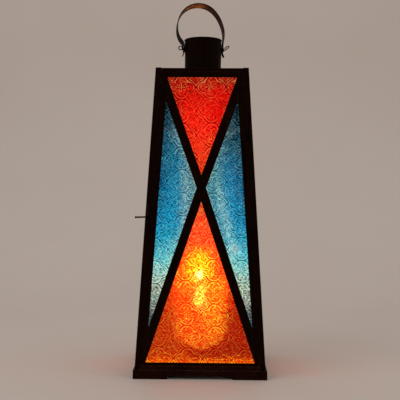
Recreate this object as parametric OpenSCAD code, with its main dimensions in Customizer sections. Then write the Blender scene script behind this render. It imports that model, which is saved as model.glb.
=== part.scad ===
// Tapered four-sided metal candle lantern with coloured pressed-glass panes,
// a hinged front door, an open chimney and a strap bail handle.
// Frame: millimetres, +Z up, origin at the centre of the underside.
// The door faces -Y. Each face leans inwards towards the top.

/* [Body] */
// Width of the body where it meets the plinth
body_bot_w = 166; // [150:1:167]
// Width of the body under the roof
body_top_w = 120.5; // [112:0.5:126]
// Height of the body between plinth and roof
body_h = 386; // [370:1:400]
// Thickness of the frame sheet
sheet = 1.2; // [1.0:0.1:1.4]
// Visible width of each corner post
post_w = 7.4; // [6.8:0.1:8]
// Visible height of the rail under the roof
top_rail = 4.6; // [4:0.1:5]
// Visible height of the rail on the plinth
bot_rail = 5; // [4.4:0.1:5.2]

/* [Plinth] */
// Outside width of the plinth
base_w = 170; // [169:1:180]
// Height of the plinth
base_h = 11.5; // [10:0.5:14]
// Width of the low cut-out between two feet
foot_gap_w = 82; // [60:1:100]
// Height of that cut-out
foot_gap_h = 4.6; // [3:0.1:6]

/* [Lattice] */
// Half width of the window at its top edge
win_top_hw = 44.35; // [43:0.05:46]
// Half width of the window at its bottom edge
win_bot_hw = 68.85; // [67:0.05:70]
// Distance from the foot of the face to the window's bottom edge
win_bot_v = 9.3; // [9:0.1:10]
// Distance from the foot of the face to the window's top edge
win_top_v = 374.65; // [373:0.05:376]
// Height along the face of the point where the bars cross
cross_v = 231.3; // [225:0.1:238]
// Horizontal width of the bars above the crossing
bar_w_up = 12.5; // [11:0.1:13.5]
// Horizontal width of the bars below the crossing
bar_w_lo = 11.5; // [10.5:0.1:12.5]

/* [Glass] */
// Thickness of the pressed glass
glass_t = 2.6; // [2:0.1:3]
// Space between two panes behind a bar
pane_gap = 2.6; // [2.2:0.1:3.2]

/* [Door] */
// Clearance between the door and its posts
door_gap = 0.6; // [0.5:0.05:0.8]
// Depth of the folded lip round the door
door_lip = 7; // [5:0.5:7]
// Height of the lower hinge's middle above the table
hinge_lo_z = 83.5; // [60:0.5:110]
// Height of the upper hinge's middle above the table
hinge_hi_z = 310.5; // [280:0.5:330]
// Length of one hinge barrel
hinge_len = 15; // [12:0.5:18]
// Height of the latch barrel's middle above the table
latch_z = 213.5; // [180:0.5:250]
// Length of the latch lever
lever_len = 15.3; // [10:0.1:16]

/* [Chimney and handle] */
// Outside radius of the chimney
chim_r = 24.8; // [24:0.1:25]
// Height of the chimney above the roof
chim_h = 48; // [46:0.5:50]
// Height of the handle pivot above the table
pivot_z = 432; // [431.5:0.1:432.5]
// Turn of the handle's pivot line about the chimney
handle_yaw = 9; // [-15:1:15]
// Width of the handle strap
strap_w = 15; // [12:0.5:16]
// Lean of the standing handle towards the back, in degrees
handle_lean = 10.5; // [0:0.5:12]
// Height of the bow's middle line above the pivot
bow_h = 64.6; // [64:0.1:65.5]

/* [Candle] */
// Radius of the pillar candle
candle_r = 35; // [30:0.5:36]
// Height of the pillar candle
candle_h = 100; // [60:1:130]

/* [Hidden] */
$fn = 96;

black = [0.07, 0.055, 0.05];
iron = [0.16, 0.13, 0.11];
red = [0.86, 0.12, 0.06, 0.75];
orange = [0.93, 0.36, 0.08, 0.75];
blue = [0.08, 0.42, 0.66, 0.75];
wax = [0.93, 0.86, 0.70];
soot = [0.1, 0.08, 0.06];

// faces, numbered anticlockwise from above
front = 0;
right = 1;
back = 2;
left = 3;

body_bot_half = body_bot_w / 2;
body_top_half = body_top_w / 2;
roof_z = base_h + body_h;
face_lean = atan((body_bot_half - body_top_half) / body_h);  // lean of a face from the vertical
face_len = body_h / cos(face_lean);                          // length of a face up its slope
edge_lean = atan((body_bot_half - body_top_half) / face_len);  // lean of an edge in its face

// ---------- shared helpers ----------
// A face is drawn with x across, y up the slope from the foot and z outwards.

// half widths of the face and of its window at y
function face_half(y) = body_bot_half + (body_top_half - body_bot_half) * y / face_len;
function window_half(y) =
  win_bot_hw + (win_top_hw - win_bot_hw) * (y - win_bot_v) / (win_top_v - win_bot_v);
// distance up the slope of a height above the table
function face_y(z) = (z - base_h) / cos(face_lean);
function reversed(list) = [for (k = [len(list) - 1:-1:0]) list[k]];
// level of the rear of a panel's sheet: the door is flush, the other panels lie behind the posts
function panel_back(side) = side == front ? -sheet : -2 * sheet;

module face(side) {
  rotate([0, 0, 90 * side]) translate([0, -body_bot_half, base_h])
    rotate([90 - face_lean, 0, 0]) children();
}

// frame on the front face that follows its left (-1) or right (1) edge, inset from it
module edge_frame(hand, inset, z) {
  y = face_y(z);
  translate([hand * (face_half(y) - inset), y, 0]) rotate([0, 0, hand * edge_lean]) children();
}

// drawing thickened outwards from level z
module layer(z, thick = sheet) {
  translate([0, 0, z]) linear_extrude(thick) children();
}

// keeps what lies between two heights
module between(low, high) {
  intersection() {
    children();
    translate([-200, -200, low]) cube([400, 400, high - low]);
  }
}

// polygon from its right half, listed upwards, and the mirror image of that
module symmetric(half) {
  polygon(concat(half, [for (p = reversed(half)) [-p[0], p[1]]]));
}

// trapezoid between the face's edges, inset from both
module face_band(inset, low, high) {
  symmetric([[face_half(low) - inset, low], [face_half(high) - inset, high]]);
}

// strip along the left (-1) or right (1) edge, between two insets
module edge_strip(hand, outer, inner, low, high) {
  polygon([[hand * (face_half(low) - inner), low], [hand * (face_half(low) - outer), low],
    [hand * (face_half(high) - outer), high], [hand * (face_half(high) - inner), high]]);
}

module window() {
  symmetric([[window_half(win_bot_v), win_bot_v], [window_half(win_top_v), win_top_v]]);
}

// turns a part from +Z to +X and puts it at a place
module along_x(place) {
  translate(place) rotate([0, 90, 0]) children();
}

// rod along +Y, out from the face by level z
module rod_y(r, y, length, z = 0) {
  translate([0, y, z]) rotate([-90, 0, 0]) cylinder(r = r, h = length);
}

// rivet with its head on z = 0 and its tail under a stack of thickness grip
module rivet(shank_r, head_r, head_h, grip) {
  tail_h = 0.6;
  translate([0, 0, -grip - tail_h]) cylinder(r = shank_r, h = grip + tail_h + head_h / 2);
  cylinder(r1 = head_r, r2 = head_r * 0.62, h = head_h);
  translate([0, 0, -grip - tail_h]) cylinder(r = head_r * 0.85, h = tail_h);
}

// ---------- posts, rails, roof, plinth ----------

base_rivet_r = 1.5;
base_rivet_inset = 9;  // from the body's foot edges
base_ledge_w = 14;     // width of the bottom frame's ledge
foot_chamfer = 1.6;
rivet_hole_play = 0.05;
sheet_play = 0.2;      // roof and bottom sheets stop this far inside the posts
rail_play = 0.05;      // rails stop this far from the posts
rail_zone = 20;        // height within which rails and their sheet are kept
post_rise = 0.6;       // posts stand this far above the roof

module at_base_rivets(z) {
  spot = body_bot_half - base_rivet_inset;
  for (x = [-spot, spot])
    for (y = [-spot, spot])
      translate([x, y, z]) children();
}

// leg of a post on one face, overlong at both ends
module post_leg(hand) {
  layer(-sheet) edge_strip(hand, 0, post_w, -1, face_len + 2);
}

// angle post at the left edge of a face
module corner_post(side) {
  color(black) between(base_h, roof_z + post_rise) union() {
    face(side) post_leg(-1);
    face((side + 3) % 4) post_leg(1);
  }
}

// square sheet whose four edges reach the faces between the posts
module notched_sheet(z, half) {
  core = half - sheet - sheet_play;
  edge = half - post_w - sheet_play;
  reach = 2 * half - sheet_play;
  layer(z) union() {
    square([2 * core, 2 * core], center = true);
    square([2 * edge, reach], center = true);
    square([reach, 2 * edge], center = true);
  }
}

// the same rail on all four faces
module rails(low, high) {
  for (side = [front:left]) face(side) layer(-sheet) face_band(post_w + rail_play, low, high);
}

module bottom_frame() {
  color(black) difference() {
    between(base_h, base_h + rail_zone) union() {
      notched_sheet(base_h, body_bot_half);
      rails(-1, bot_rail);
    }
    layer(base_h - 1, sheet + 2) square(2 * (body_bot_half - base_ledge_w), center = true);
    at_base_rivets(base_h - 1) cylinder(r = base_rivet_r + rivet_hole_play, h = 4);
  }
}

module roof_plate() {
  color(black) difference() {
    between(roof_z - rail_zone, roof_z) union() {
      notched_sheet(roof_z - sheet, body_top_half);
      rails(face_len - top_rail, face_len + 1);
    }
    translate([0, 0, roof_z - 3]) cylinder(r = chim_r - chim_wall, h = 6);
    flange_rivet_holes();
  }
}

// inverted sheet-metal tray with a low cut-out between the feet on every side
module base_plinth() {
  inner_w = base_w - 2 * sheet;
  color(black) difference() {
    translate([-base_w / 2, -base_w / 2, 0]) cube([base_w, base_w, base_h]);
    translate([-inner_w / 2, -inner_w / 2, -1]) cube([inner_w, inner_w, base_h - sheet + 1]);
    for (k = [0:1])
      rotate([0, 0, 90 * k]) translate([0, base_w, 0]) rotate([90, 0, 0])
        linear_extrude(2 * base_w)
          symmetric([[foot_gap_w / 2, -1], [foot_gap_w / 2, foot_gap_h - foot_chamfer],
            [foot_gap_w / 2 - foot_chamfer, foot_gap_h]]);
    at_base_rivets(base_h - 4) cylinder(r = base_rivet_r + rivet_hole_play, h = 8);
  }
}

module base_rivets() {
  color(iron) at_base_rivets(base_h + sheet)
    rivet(shank_r = base_rivet_r, head_r = 2.9, head_h = 1.3, grip = 2 * sheet);
}

// ---------- chimney ----------

chim_wall = 1;
rim_bead_r = 1;
seam_start = 86;  // the lapped seam runs down the back of the tube
seam_angle = 14;
flange_t = 0.9;
flange_rivet_r = 1;
// flange section: distance outside chim_r, height above the roof
flange_profile = [[0.02, 0], [7.5, 0], [7.5, flange_t], [1.2, flange_t],
  [0.95, 1.3], [0.95, 6], [0.02, 6]];

disc_drop = 7;  // underside of the vent disc below the chimney's top
disc_t = 0.8;
vent_r = 2.2;
// rings of vents: number of holes, ring radius, angle of the first hole
vent_rings = [[8, 9, 0], [12, 16.6, 15]];

module at_flange_rivets(z) {
  for (k = [0:5])
    rotate([0, 0, 30 + 60 * k]) translate([chim_r + 4.2, 0, z]) children();
}

module flange_rivet_holes() {
  at_flange_rivets(roof_z - 3) cylinder(r = flange_rivet_r + rivet_hole_play, h = 6);
}

// sweeps a section along the seam, widened by a margin in degrees at both sides
module seam_sweep(margin, z) {
  rotate([0, 0, seam_start - margin]) translate([0, 0, z])
    rotate_extrude(angle = seam_angle + 2 * margin) children();
}

module chimney_tube() {
  color(black) difference() {
    union() {
      translate([0, 0, roof_z]) rotate_extrude() union() {
        translate([chim_r - chim_wall, 0]) square([chim_wall, chim_h - rim_bead_r]);
        translate([chim_r - 0.05, chim_h - rim_bead_r]) circle(r = rim_bead_r, $fn = 32);
      }
      seam_sweep(0, roof_z) translate([chim_r - 0.3, 0]) square([0.85, chim_h - 2.2]);
    }
    rotate([0, 0, handle_yaw]) pivot_bore();
  }
}

module chimney_flange() {
  color(black) difference() {
    translate([0, 0, roof_z]) rotate_extrude()
      polygon([for (p = flange_profile) [chim_r + p[0], p[1]]]);
    flange_rivet_holes();
    // relief for the lapped seam
    seam_sweep(1, roof_z - 1) translate([chim_r - 0.5, 0]) square([1.1, 10]);
  }
}

module chimney_flange_rivets() {
  color(iron) at_flange_rivets(roof_z + flange_t)
    rivet(shank_r = flange_rivet_r, head_r = 2.1, head_h = 1.0, grip = sheet + flange_t);
}

module chimney_vent_disc() {
  disc_z = roof_z + chim_h - disc_drop;
  color(black) difference() {
    translate([0, 0, disc_z]) cylinder(r = chim_r - chim_wall - 0.03, h = disc_t);
    translate([0, 0, disc_z - 1]) {
      cylinder(r = 2.5, h = 3);
      for (ring = vent_rings)
        for (k = [0:ring[0] - 1])
          rotate([0, 0, 360 / ring[0] * k + ring[2]]) translate([ring[1], 0, 0])
            cylinder(r = vent_r, h = 3, $fn = 48);
    }
  }
}

// ---------- handle ----------

pivot_hole_r = 1.5;
tab_x = chim_r + 1.8;      // middle of the pierced tab
tab_top = 3.6;             // top of the straight tab above the pivot
tab_foot = -5.6;           // where the tab's tip starts to bend outwards
tab_tip = [1.7, -9.5];     // end of the bent tip: outwards from the tab, above the pivot
strap_z = pivot_z + 2.06;  // height from which the strap's outline is measured
tongue_half = 3.2;         // half width of the tongue below the strap's shoulders

// middle line of the bow from the left tab to the right one, seen from the front:
// x, height above the pivot; it bulges to the left
bow_table_h = 64.6;
bow_points = [[-tab_x, tab_top], [-27.9, 8.6], [-32.6, 15.5], [-35.3, 26], [-34.4, 38],
  [-30.6, 48.5], [-24.2, 56.8], [-15, 62.6], [-4, bow_table_h], [6.5, 62.3], [14.8, 56.6],
  [21.7, 47.5], [26.2, 37], [28.5, 27], [28.6, 17.5], [27.2, 10], [tab_x, tab_top]];

// bow point k, with one more point beyond each end to steer the curve
function bow_point(k) =
  k < 0 ? [-tab_x, -4] : k >= len(bow_points) ? [tab_x, -4] : bow_points[k];

// Catmull-Rom curve from start to end, t = 0 to 1
function curve(before, start, end, after, t) =
  0.5 * (2 * start + (end - before) * t
    + (2 * before - 5 * start + 4 * end - after) * t * t
    + (3 * start - before - 3 * end + after) * t * t * t);

bow_line = concat(
  [[-tab_x - tab_tip[0], tab_tip[1]], [-tab_x, tab_foot]],
  [for (k = [0:len(bow_points) - 2])
    for (step = [0:3])
      curve(bow_point(k - 1), bow_point(k), bow_point(k + 1), bow_point(k + 2), step / 4)],
  [[tab_x, tab_top], [tab_x, tab_foot], [tab_x + tab_tip[0], tab_tip[1]]]);

// the middle line moved sideways, at its height above the table
function bow_beside(shift) = [for (k = [0:len(bow_line) - 1])
  let (chord = bow_line[min(k + 1, len(bow_line) - 1)] - bow_line[max(k - 1, 0)],
    along = chord / norm(chord))
  [bow_line[k][0] - along[1] * shift,
    pivot_z + bow_h / bow_table_h * (bow_line[k][1] + along[0] * shift)]];

module pivot_bore() {
  along_x([-40, 0, pivot_z]) cylinder(r = pivot_hole_r, h = 80);
}

// the strap seen from the side: full width above, narrow tongue below
module strap_outline() {
  half = strap_w / 2;
  shoulder = half + (half - tongue_half) / 5;
  translate([0, strap_z])
    symmetric([[2, -12.5], [tongue_half, -10.6], [tongue_half, -7.4],
      [shoulder, -1.4], [shoulder, 80]]);
}

module handle_strap() {
  color(black) rotate([0, 0, handle_yaw])
    translate([0, 0, pivot_z]) rotate([-handle_lean, 0, 0]) translate([0, 0, -pivot_z])
      difference() {
        intersection() {
          rotate([90, 0, 0]) linear_extrude(strap_w, center = true)
            polygon(concat(bow_beside(sheet / 2), reversed(bow_beside(-sheet / 2))));
          rotate([90, 0, 90]) linear_extrude(100, center = true) strap_outline();
        }
        pivot_bore();
      }
}

module handle_washers() {
  color(iron) rotate([0, 0, handle_yaw])
    for (hand = [-1, 1])
      along_x([hand * (chim_r + 0.6), 0, pivot_z]) difference() {
        cylinder(r = 3.6, h = 0.9, center = true);
        cylinder(r = pivot_hole_r, h = 3, center = true);
      }
}

// shank of a split pin along +X, with its legs spread inside the chimney
module split_shank() {
  along_x([chim_r - 2.6, 0, 0]) cylinder(r = 1.45, h = 5.9);
  translate([chim_r + 3.3, 0, 0]) sphere(r = 1.3, $fn = 32);
  for (hand = [-1, 1])
    translate([chim_r - 2.4, 0, hand * 0.7]) rotate([0, -90 + hand * 38, 0])
      cylinder(r = 0.7, h = 6.2, $fn = 32);
}

// the left pin has an upright round eye
module handle_split_pin_left() {
  color(iron) rotate([0, 0, handle_yaw]) mirror([1, 0, 0]) translate([0, 0, pivot_z]) union() {
    split_shank();
    translate([chim_r + 6.3, 0, 1.9]) rotate([90, 0, 0])
      rotate_extrude() translate([2.4, 0]) circle(r = 0.68, $fn = 32);
  }
}

module half_ring(ring_r, wire_r) {
  rotate_extrude(angle = 180) translate([ring_r, 0]) circle(r = wire_r, $fn = 32);
}

// wire eye drawn as a long loop: two straights and two half rings
module long_eye(length, half, wire_r) {
  for (hand = [-1, 1]) along_x([0, hand * half, 0]) cylinder(r = wire_r, h = length, $fn = 32);
  rotate([0, 0, 90]) half_ring(half, wire_r);
  translate([length, 0, 0]) rotate([0, 0, -90]) half_ring(half, wire_r);
}

// the right pin has a long eye, tilted up and twisted
module handle_split_pin_right() {
  eye_half = 1.9;
  color(iron) rotate([0, 0, handle_yaw]) translate([0, 0, pivot_z]) union() {
    split_shank();
    translate([chim_r + 3.9, 0, 0.4]) rotate([0, -41, 0]) rotate([40, 0, 0])
      translate([eye_half, 0, 0]) long_eye(length = 5.4, half = eye_half, wire_r = 0.6);
  }
}

// ---------- lattice panels ----------

slope_up = 0.3594;  // sideways run of an upper bar per unit of face height
slope_lo = 0.3378;  // the same for a lower bar
panel_inset = 3;    // side panel from the body's edges
panel_end = 1.7;    // side panel from the head and foot of the face

door_inset = post_w + door_gap;
door_foot = bot_rail + 0.5;
door_head = face_len - top_rail - 0.5;
door_stop_depth = 1.6;  // rear of the stop strip behind the door's lip

// one overlong arm of the cross, to the left (-1) or right (1), above or below the crossing
module arm(hand, upper) {
  half = (upper ? bar_w_up : bar_w_lo) / 2;
  cross_half = (bar_w_up + bar_w_lo) / 4;
  rise = upper ? 160 : -240;
  run = (upper ? slope_up : slope_lo) * abs(rise);
  polygon([[hand * -cross_half, cross_v], [hand * cross_half, cross_v],
    [hand * (run + half), cross_v + rise], [hand * (run - half), cross_v + rise]]);
}

// the two arms from upper left to lower right
module long_arms() {
  arm(-1, true);
  arm(1, false);
}

module bar_long(side) {
  layer(panel_back(side)) intersection() {
    window();
    union() long_arms();
  }
}

// the two arms that butt against the long bar
module bar_halves(side) {
  for (upper = [true, false])
    layer(panel_back(side)) difference() {
      intersection() {
        window();
        arm(upper ? 1 : -1, upper);
      }
      union() long_arms();
    }
}

module panel_ring(side, inset, low, high) {
  layer(panel_back(side)) difference() {
    face_band(inset, low, high);
    window();
  }
}

module panel_frame(side) {
  color(black) face(side) panel_ring(side, panel_inset, panel_end, face_len - panel_end);
}

module cross_bars(side) {
  color(black) face(side) {
    bar_long(side);
    bar_halves(side);
  }
}

module door_cross_bar_long() {
  color(black) face(front) bar_long(front);
}

module door_cross_bar_halves() {
  color(black) face(front) bar_halves(front);
}

module door_frame() {
  color(black) face(front) difference() {
    union() {
      panel_ring(front, door_inset, door_foot, door_head);
      layer(-door_lip, door_lip) difference() {
        face_band(door_inset, door_foot, door_head);
        face_band(door_inset + sheet, door_foot + sheet, door_head - sheet);
      }
    }
    for (z = [hinge_lo_z, hinge_hi_z]) hinge_frame(z) hinge_rivet_holes();
  }
}

// stop that the closed door rests against, on the latch side
module door_stop_strip() {
  end_gap = 7;
  color(black) face(front) layer(-door_lip - door_stop_depth)
    edge_strip(-1, 2.5, 11.5, end_gap, face_len - end_gap);
}

// ---------- glass ----------

glass_gap = 0.5;      // space between a panel's sheet and its glass
clip_gap = 0.05;      // space between the glass and a clip's leaf
bar_angle = 19.5;     // nominal lean of a bar, in degrees
tip_gap = 2;          // extra space at the tips of the red and orange panes
pane_run = pane_gap / 2 / cos(bar_angle);  // pane's edge sideways from its bar's middle

// outer edge of a blue pane, 3.2 beyond the window: sideways run and half width at the foot
edge_slope = (win_bot_hw - win_top_hw) / (win_top_v - win_bot_v);
edge_foot = win_bot_hw + edge_slope * win_bot_v + 3.2;
// where that edge meets the edges along the bars
blue_top = (edge_foot - pane_run + slope_up * cross_v) / (slope_up + edge_slope);
blue_foot = (slope_lo * cross_v + pane_run - edge_foot) / (slope_lo - edge_slope);
blue_clip = [40, 358];  // the blue tips are cut off outside these face heights

// distances of the clips above the crossing
clip_rows = [45, 105, -55, -115, -175];
clip_w = 7;
clip_leaf_t = 0.8;

// cuts a pane to the space inside the door's lip and gives it its thickness
module pane(side) {
  layer(panel_back(side) - glass_gap - glass_t, glass_t) intersection() {
    children();
    face_band(door_inset + sheet + 0.35, door_foot + sheet + 0.25, door_head - sheet - 0.25);
  }
}

// pane above the crossing
module glass_red(side) {
  top = win_top_v + 4;
  half = slope_up * (top - cross_v) - pane_run;
  color(red) face(side) pane(side)
    polygon([[0, cross_v + pane_run / slope_up + tip_gap], [half, top], [-half, top]]);
}

// pane below the crossing
module glass_orange(side) {
  half = slope_lo * cross_v - pane_run;
  color(orange) face(side) pane(side)
    polygon([[0, cross_v - pane_run / slope_lo - tip_gap], [-half, 0], [half, 0]]);
}

// pane to the left (-1) or right (1) of the crossing
module glass_blue(side, hand) {
  color(blue) face(side) pane(side) intersection() {
    polygon([[hand * pane_run, cross_v],
      [hand * (edge_foot - edge_slope * blue_top), blue_top],
      [hand * (edge_foot - edge_slope * blue_foot), blue_foot]]);
    translate([-100, blue_clip[0]]) square([200, blue_clip[1] - blue_clip[0]]);
  }
}

// T clip: a stem between two panes and a leaf across their backs
module t_clip(side) {
  depth = glass_gap + glass_t + clip_gap;
  leaf_z = panel_back(side) - depth - 0.1;
  translate([-0.8, -clip_w / 2, leaf_z]) cube([1.6, clip_w, depth + 0.1]);
  translate([-4.6, -clip_w / 2, leaf_z - clip_leaf_t]) cube([9.2, clip_w, clip_leaf_t]);
}

// clips behind the four arms of a face
module glass_clips(side) {
  color(iron) face(side)
    for (hand = [-1, 1])
      for (row = clip_rows) {
        slope = row > 0 ? slope_up : slope_lo;
        translate([hand * slope * abs(row), cross_v + row, 0])
          rotate([0, 0, -hand * sign(row) * atan(slope)]) t_clip(side);
      }
}

// ---------- hinges ----------

hinge_inset = 3.2;  // hinge line inside the body's edge
hinge_out = 1.9;    // hinge line in front of the face
hinge_to_door = door_inset - hinge_inset;
hinge_half = hinge_len / 2;
knuckle_r = 1.9;
door_knuckle_half = 2.7;
post_knuckle_y = 3.0;  // inner end of a post knuckle from the hinge's middle
leaf_t = 0.8;
hinge_pin_r = 0.9;

// frame on the right-hand hinge line: x across, y along the line, z outwards
module hinge_frame(z) {
  edge_frame(1, hinge_inset, z) children();
}

module at_hinge_rivets(z) {
  for (y = [-4.6, 4.6]) translate([-hinge_to_door - 3, y, z]) children();
}

module hinge_rivet_holes() {
  at_hinge_rivets(-5) cylinder(r = 0.8, h = 10, $fn = 48);
}

module hinge_bore() {
  rod_y(hinge_pin_r + 0.05, -hinge_half - 1, 2 * hinge_half + 2, hinge_out);
}

module hinge_post_leaf(z) {
  knuckle_len = hinge_half - post_knuckle_y;
  color(iron) face(front) hinge_frame(z) difference() {
    union() {
      for (y = [-hinge_half, post_knuckle_y]) {
        rod_y(knuckle_r, y, knuckle_len, hinge_out);
        translate([-2.6, y, 0]) cube([5.4, knuckle_len, leaf_t]);
      }
      translate([2.05, -hinge_half, 0]) cube([0.75, hinge_len, leaf_t]);
    }
    hinge_bore();
  }
}

module hinge_door_leaf(z) {
  neck_lift = 0.15;
  neck_len = hinge_to_door + 0.8;
  color(iron) face(front) hinge_frame(z) difference() {
    union() {
      rod_y(knuckle_r, -door_knuckle_half, 2 * door_knuckle_half, hinge_out);
      translate([-neck_len, -door_knuckle_half, neck_lift])
        cube([neck_len, 2 * door_knuckle_half, leaf_t - neck_lift]);
      translate([-hinge_to_door - 5.6, -hinge_half, 0]) cube([5.3, hinge_len, leaf_t]);
    }
    hinge_bore();
    hinge_rivet_holes();
  }
}

// pin with a head at each end
module hinge_pin(z) {
  head_r = 1.45;
  head_h = 0.8;
  head_gap = 0.15;
  color(iron) face(front) hinge_frame(z) union() {
    rod_y(hinge_pin_r, -hinge_half - 0.3, hinge_len + 0.6, hinge_out);
    rod_y(head_r, hinge_half + head_gap, head_h, hinge_out);
    rod_y(head_r, -hinge_half - head_gap - head_h, head_h, hinge_out);
  }
}

module hinge_rivets() {
  tail_z = -2.35;
  color(iron) face(front)
    for (z = [hinge_lo_z, hinge_hi_z])
      hinge_frame(z) at_hinge_rivets(leaf_t) {
        translate([0, 0, tail_z]) cylinder(r = 0.75, h = 2.7, $fn = 48);
        cylinder(r1 = 1.35, r2 = 0.8, h = 0.7, $fn = 48);
        translate([0, 0, tail_z]) cylinder(r = 1.15, h = 0.35, $fn = 48);
      }
}

// ---------- latch ----------

latch_inset = 3.5;  // latch line inside the body's left edge
latch_out = 1.8;    // latch line in front of the face
latch_len = 14.6;

module latch_frame() {
  edge_frame(-1, latch_inset, latch_z) children();
}

module latch_barrel() {
  plate_w = 5.4;
  color(iron) face(front) latch_frame() difference() {
    union() {
      rod_y(1.8, -latch_len / 2, latch_len, latch_out);
      translate([-plate_w / 2, -latch_len / 2, 0]) cube([plate_w, latch_len, 0.8]);
    }
    rod_y(0.9, -latch_len / 2 - 1, latch_len + 2, latch_out);
  }
}

// wire through the barrel with a collar on top and a knobbed lever at the foot
module latch_wire() {
  foot = -latch_len / 2 - 1.6;
  knob_r = 1.42;
  color(iron) face(front) latch_frame() translate([0, 0, latch_out]) union() {
    rod_y(0.85, foot, latch_len + 2.95);
    rod_y(1.4, latch_len / 2 + 0.25, 0.9);
    rod_y(1.25, foot - 0.6, 1.2, $fn = 12);
    translate([0, foot, 0]) rotate([0, 0, 5]) {
      along_x([-lever_len, 0, 0]) cylinder(r = 1.05, h = lever_len, $fn = 12);
      along_x([-lever_len - 1.2, 0, 0]) cylinder(r1 = 0.85, r2 = knob_r, h = 1.1, $fn = 12);
      along_x([-lever_len - 0.1, 0, 0]) cylinder(r1 = knob_r, r2 = 1.08, h = 0.9, $fn = 12);
    }
  }
}

// ---------- candle ----------

// section of the cup: radius, height above the plinth
cup_profile = [[0, 0], [36.4, 0], [37.2, 0.4], [37.6, 1.2], [39.0, 12.6],
  [38.2, 12.6], [36.8, 1.6], [36.2, 1.0], [0, 1.0]];
candle_z = base_h + 1.02;
candle_top = candle_z + candle_h;
// candle's edge, upwards: distance inside candle_r, distance below the candle's height
candle_shoulder = [[0, 4], [0.6, 1.8], [1.8, 0.5], [3.4, 0]];
dish_r = 122;      // radius of the sphere that hollows the top
dish_depth = 3.5;

module candle_cup() {
  color(iron) translate([0, 0, base_h]) rotate_extrude() union() {
    polygon(cup_profile);
    translate([39.2, 12.7]) circle(r = 0.9, $fn = 24);
  }
}

module candle() {
  color(wax) difference() {
    translate([0, 0, candle_z]) rotate_extrude()
      polygon(concat([[0, 0], [candle_r - 1, 0], [candle_r, 1]],
        [for (p = candle_shoulder) [candle_r - p[0], candle_h - p[1]]],
        [[0, candle_h]]));
    translate([0, 0, candle_top + dish_r - dish_depth]) sphere(r = dish_r, $fn = 128);
    translate([0, 0, candle_top - 16]) cylinder(r = 1.0, h = 20, $fn = 48);
  }
}

module candle_wick() {
  color(soot) translate([0, 0, candle_top - 15.9]) cylinder(r = 0.9, h = 21.5, $fn = 48);
}

// ---------- nodes ----------

base_plinth();
base_rivets();
bottom_frame();
corner_post(front);  // corner_post_front_left
corner_post(right);  // corner_post_front_right
corner_post(back);  // corner_post_back_right
corner_post(left);  // corner_post_back_left
roof_plate();
chimney_tube();
chimney_flange();
chimney_flange_rivets();
chimney_vent_disc();
handle_split_pin_left();
handle_split_pin_right();
handle_washers();
panel_frame(right);  // right_panel_frame
panel_frame(back);  // back_panel_frame
panel_frame(left);  // left_panel_frame
cross_bars(right);  // right_cross_bars
cross_bars(back);  // back_cross_bars
cross_bars(left);  // left_cross_bars
glass_red(right);  // right_glass_red
glass_orange(right);  // right_glass_orange
glass_blue(right, -1);  // right_glass_blue_a
glass_blue(right, 1);  // right_glass_blue_b
glass_red(back);  // back_glass_red
glass_orange(back);  // back_glass_orange
glass_blue(back, -1);  // back_glass_blue_a
glass_blue(back, 1);  // back_glass_blue_b
glass_red(left);  // left_glass_red
glass_orange(left);  // left_glass_orange
glass_blue(left, -1);  // left_glass_blue_a
glass_blue(left, 1);  // left_glass_blue_b
glass_clips(right);  // right_glass_clips
glass_clips(back);  // back_glass_clips
glass_clips(left);  // left_glass_clips
door_stop_strip();
hinge_post_leaf(hinge_hi_z);  // hinge_post_leaf_upper
hinge_post_leaf(hinge_lo_z);  // hinge_post_leaf_lower
hinge_pin(hinge_hi_z);  // hinge_pin_upper
hinge_pin(hinge_lo_z);  // hinge_pin_lower
latch_barrel();
candle_cup();
door_frame();
door_cross_bar_long();
door_cross_bar_halves();
glass_red(front);  // door_glass_red
glass_orange(front);  // door_glass_orange
glass_blue(front, -1);  // door_glass_blue_left
glass_blue(front, 1);  // door_glass_blue_right
glass_clips(front);  // door_glass_clips
hinge_door_leaf(hinge_hi_z);  // hinge_door_leaf_upper
hinge_door_leaf(hinge_lo_z);  // hinge_door_leaf_lower
hinge_rivets();
latch_wire();
handle_strap();
candle();
candle_wick();
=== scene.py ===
import bpy, bmesh, math
import numpy as np
from mathutils import Vector, Matrix


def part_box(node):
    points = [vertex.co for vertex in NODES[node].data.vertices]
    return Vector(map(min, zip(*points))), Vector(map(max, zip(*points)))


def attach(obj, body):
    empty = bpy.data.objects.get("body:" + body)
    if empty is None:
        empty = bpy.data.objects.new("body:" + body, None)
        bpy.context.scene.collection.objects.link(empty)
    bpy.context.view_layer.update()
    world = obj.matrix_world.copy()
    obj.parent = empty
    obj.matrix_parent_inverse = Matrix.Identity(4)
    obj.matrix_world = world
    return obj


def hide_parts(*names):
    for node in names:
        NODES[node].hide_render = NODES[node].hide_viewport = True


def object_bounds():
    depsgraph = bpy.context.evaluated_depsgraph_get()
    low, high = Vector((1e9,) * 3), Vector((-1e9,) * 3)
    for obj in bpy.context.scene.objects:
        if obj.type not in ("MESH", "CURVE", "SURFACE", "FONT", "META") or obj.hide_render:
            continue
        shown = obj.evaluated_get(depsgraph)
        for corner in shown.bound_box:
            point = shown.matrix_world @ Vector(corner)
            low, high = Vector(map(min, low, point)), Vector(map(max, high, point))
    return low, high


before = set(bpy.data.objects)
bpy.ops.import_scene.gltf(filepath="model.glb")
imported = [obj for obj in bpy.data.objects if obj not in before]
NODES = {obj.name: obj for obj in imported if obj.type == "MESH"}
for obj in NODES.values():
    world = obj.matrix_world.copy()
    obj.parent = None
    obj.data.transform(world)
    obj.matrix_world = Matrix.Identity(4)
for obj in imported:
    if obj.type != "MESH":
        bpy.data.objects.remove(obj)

CAD_LO, CAD_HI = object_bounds()
MM = 0.001
RNG = np.random.default_rng(7)
scene = bpy.context.scene


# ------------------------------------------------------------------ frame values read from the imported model
def verts_of(node):
    me = NODES[node].data
    a = np.empty(len(me.vertices) * 3)
    me.vertices.foreach_get("co", a)
    return a.reshape(-1, 3)


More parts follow.
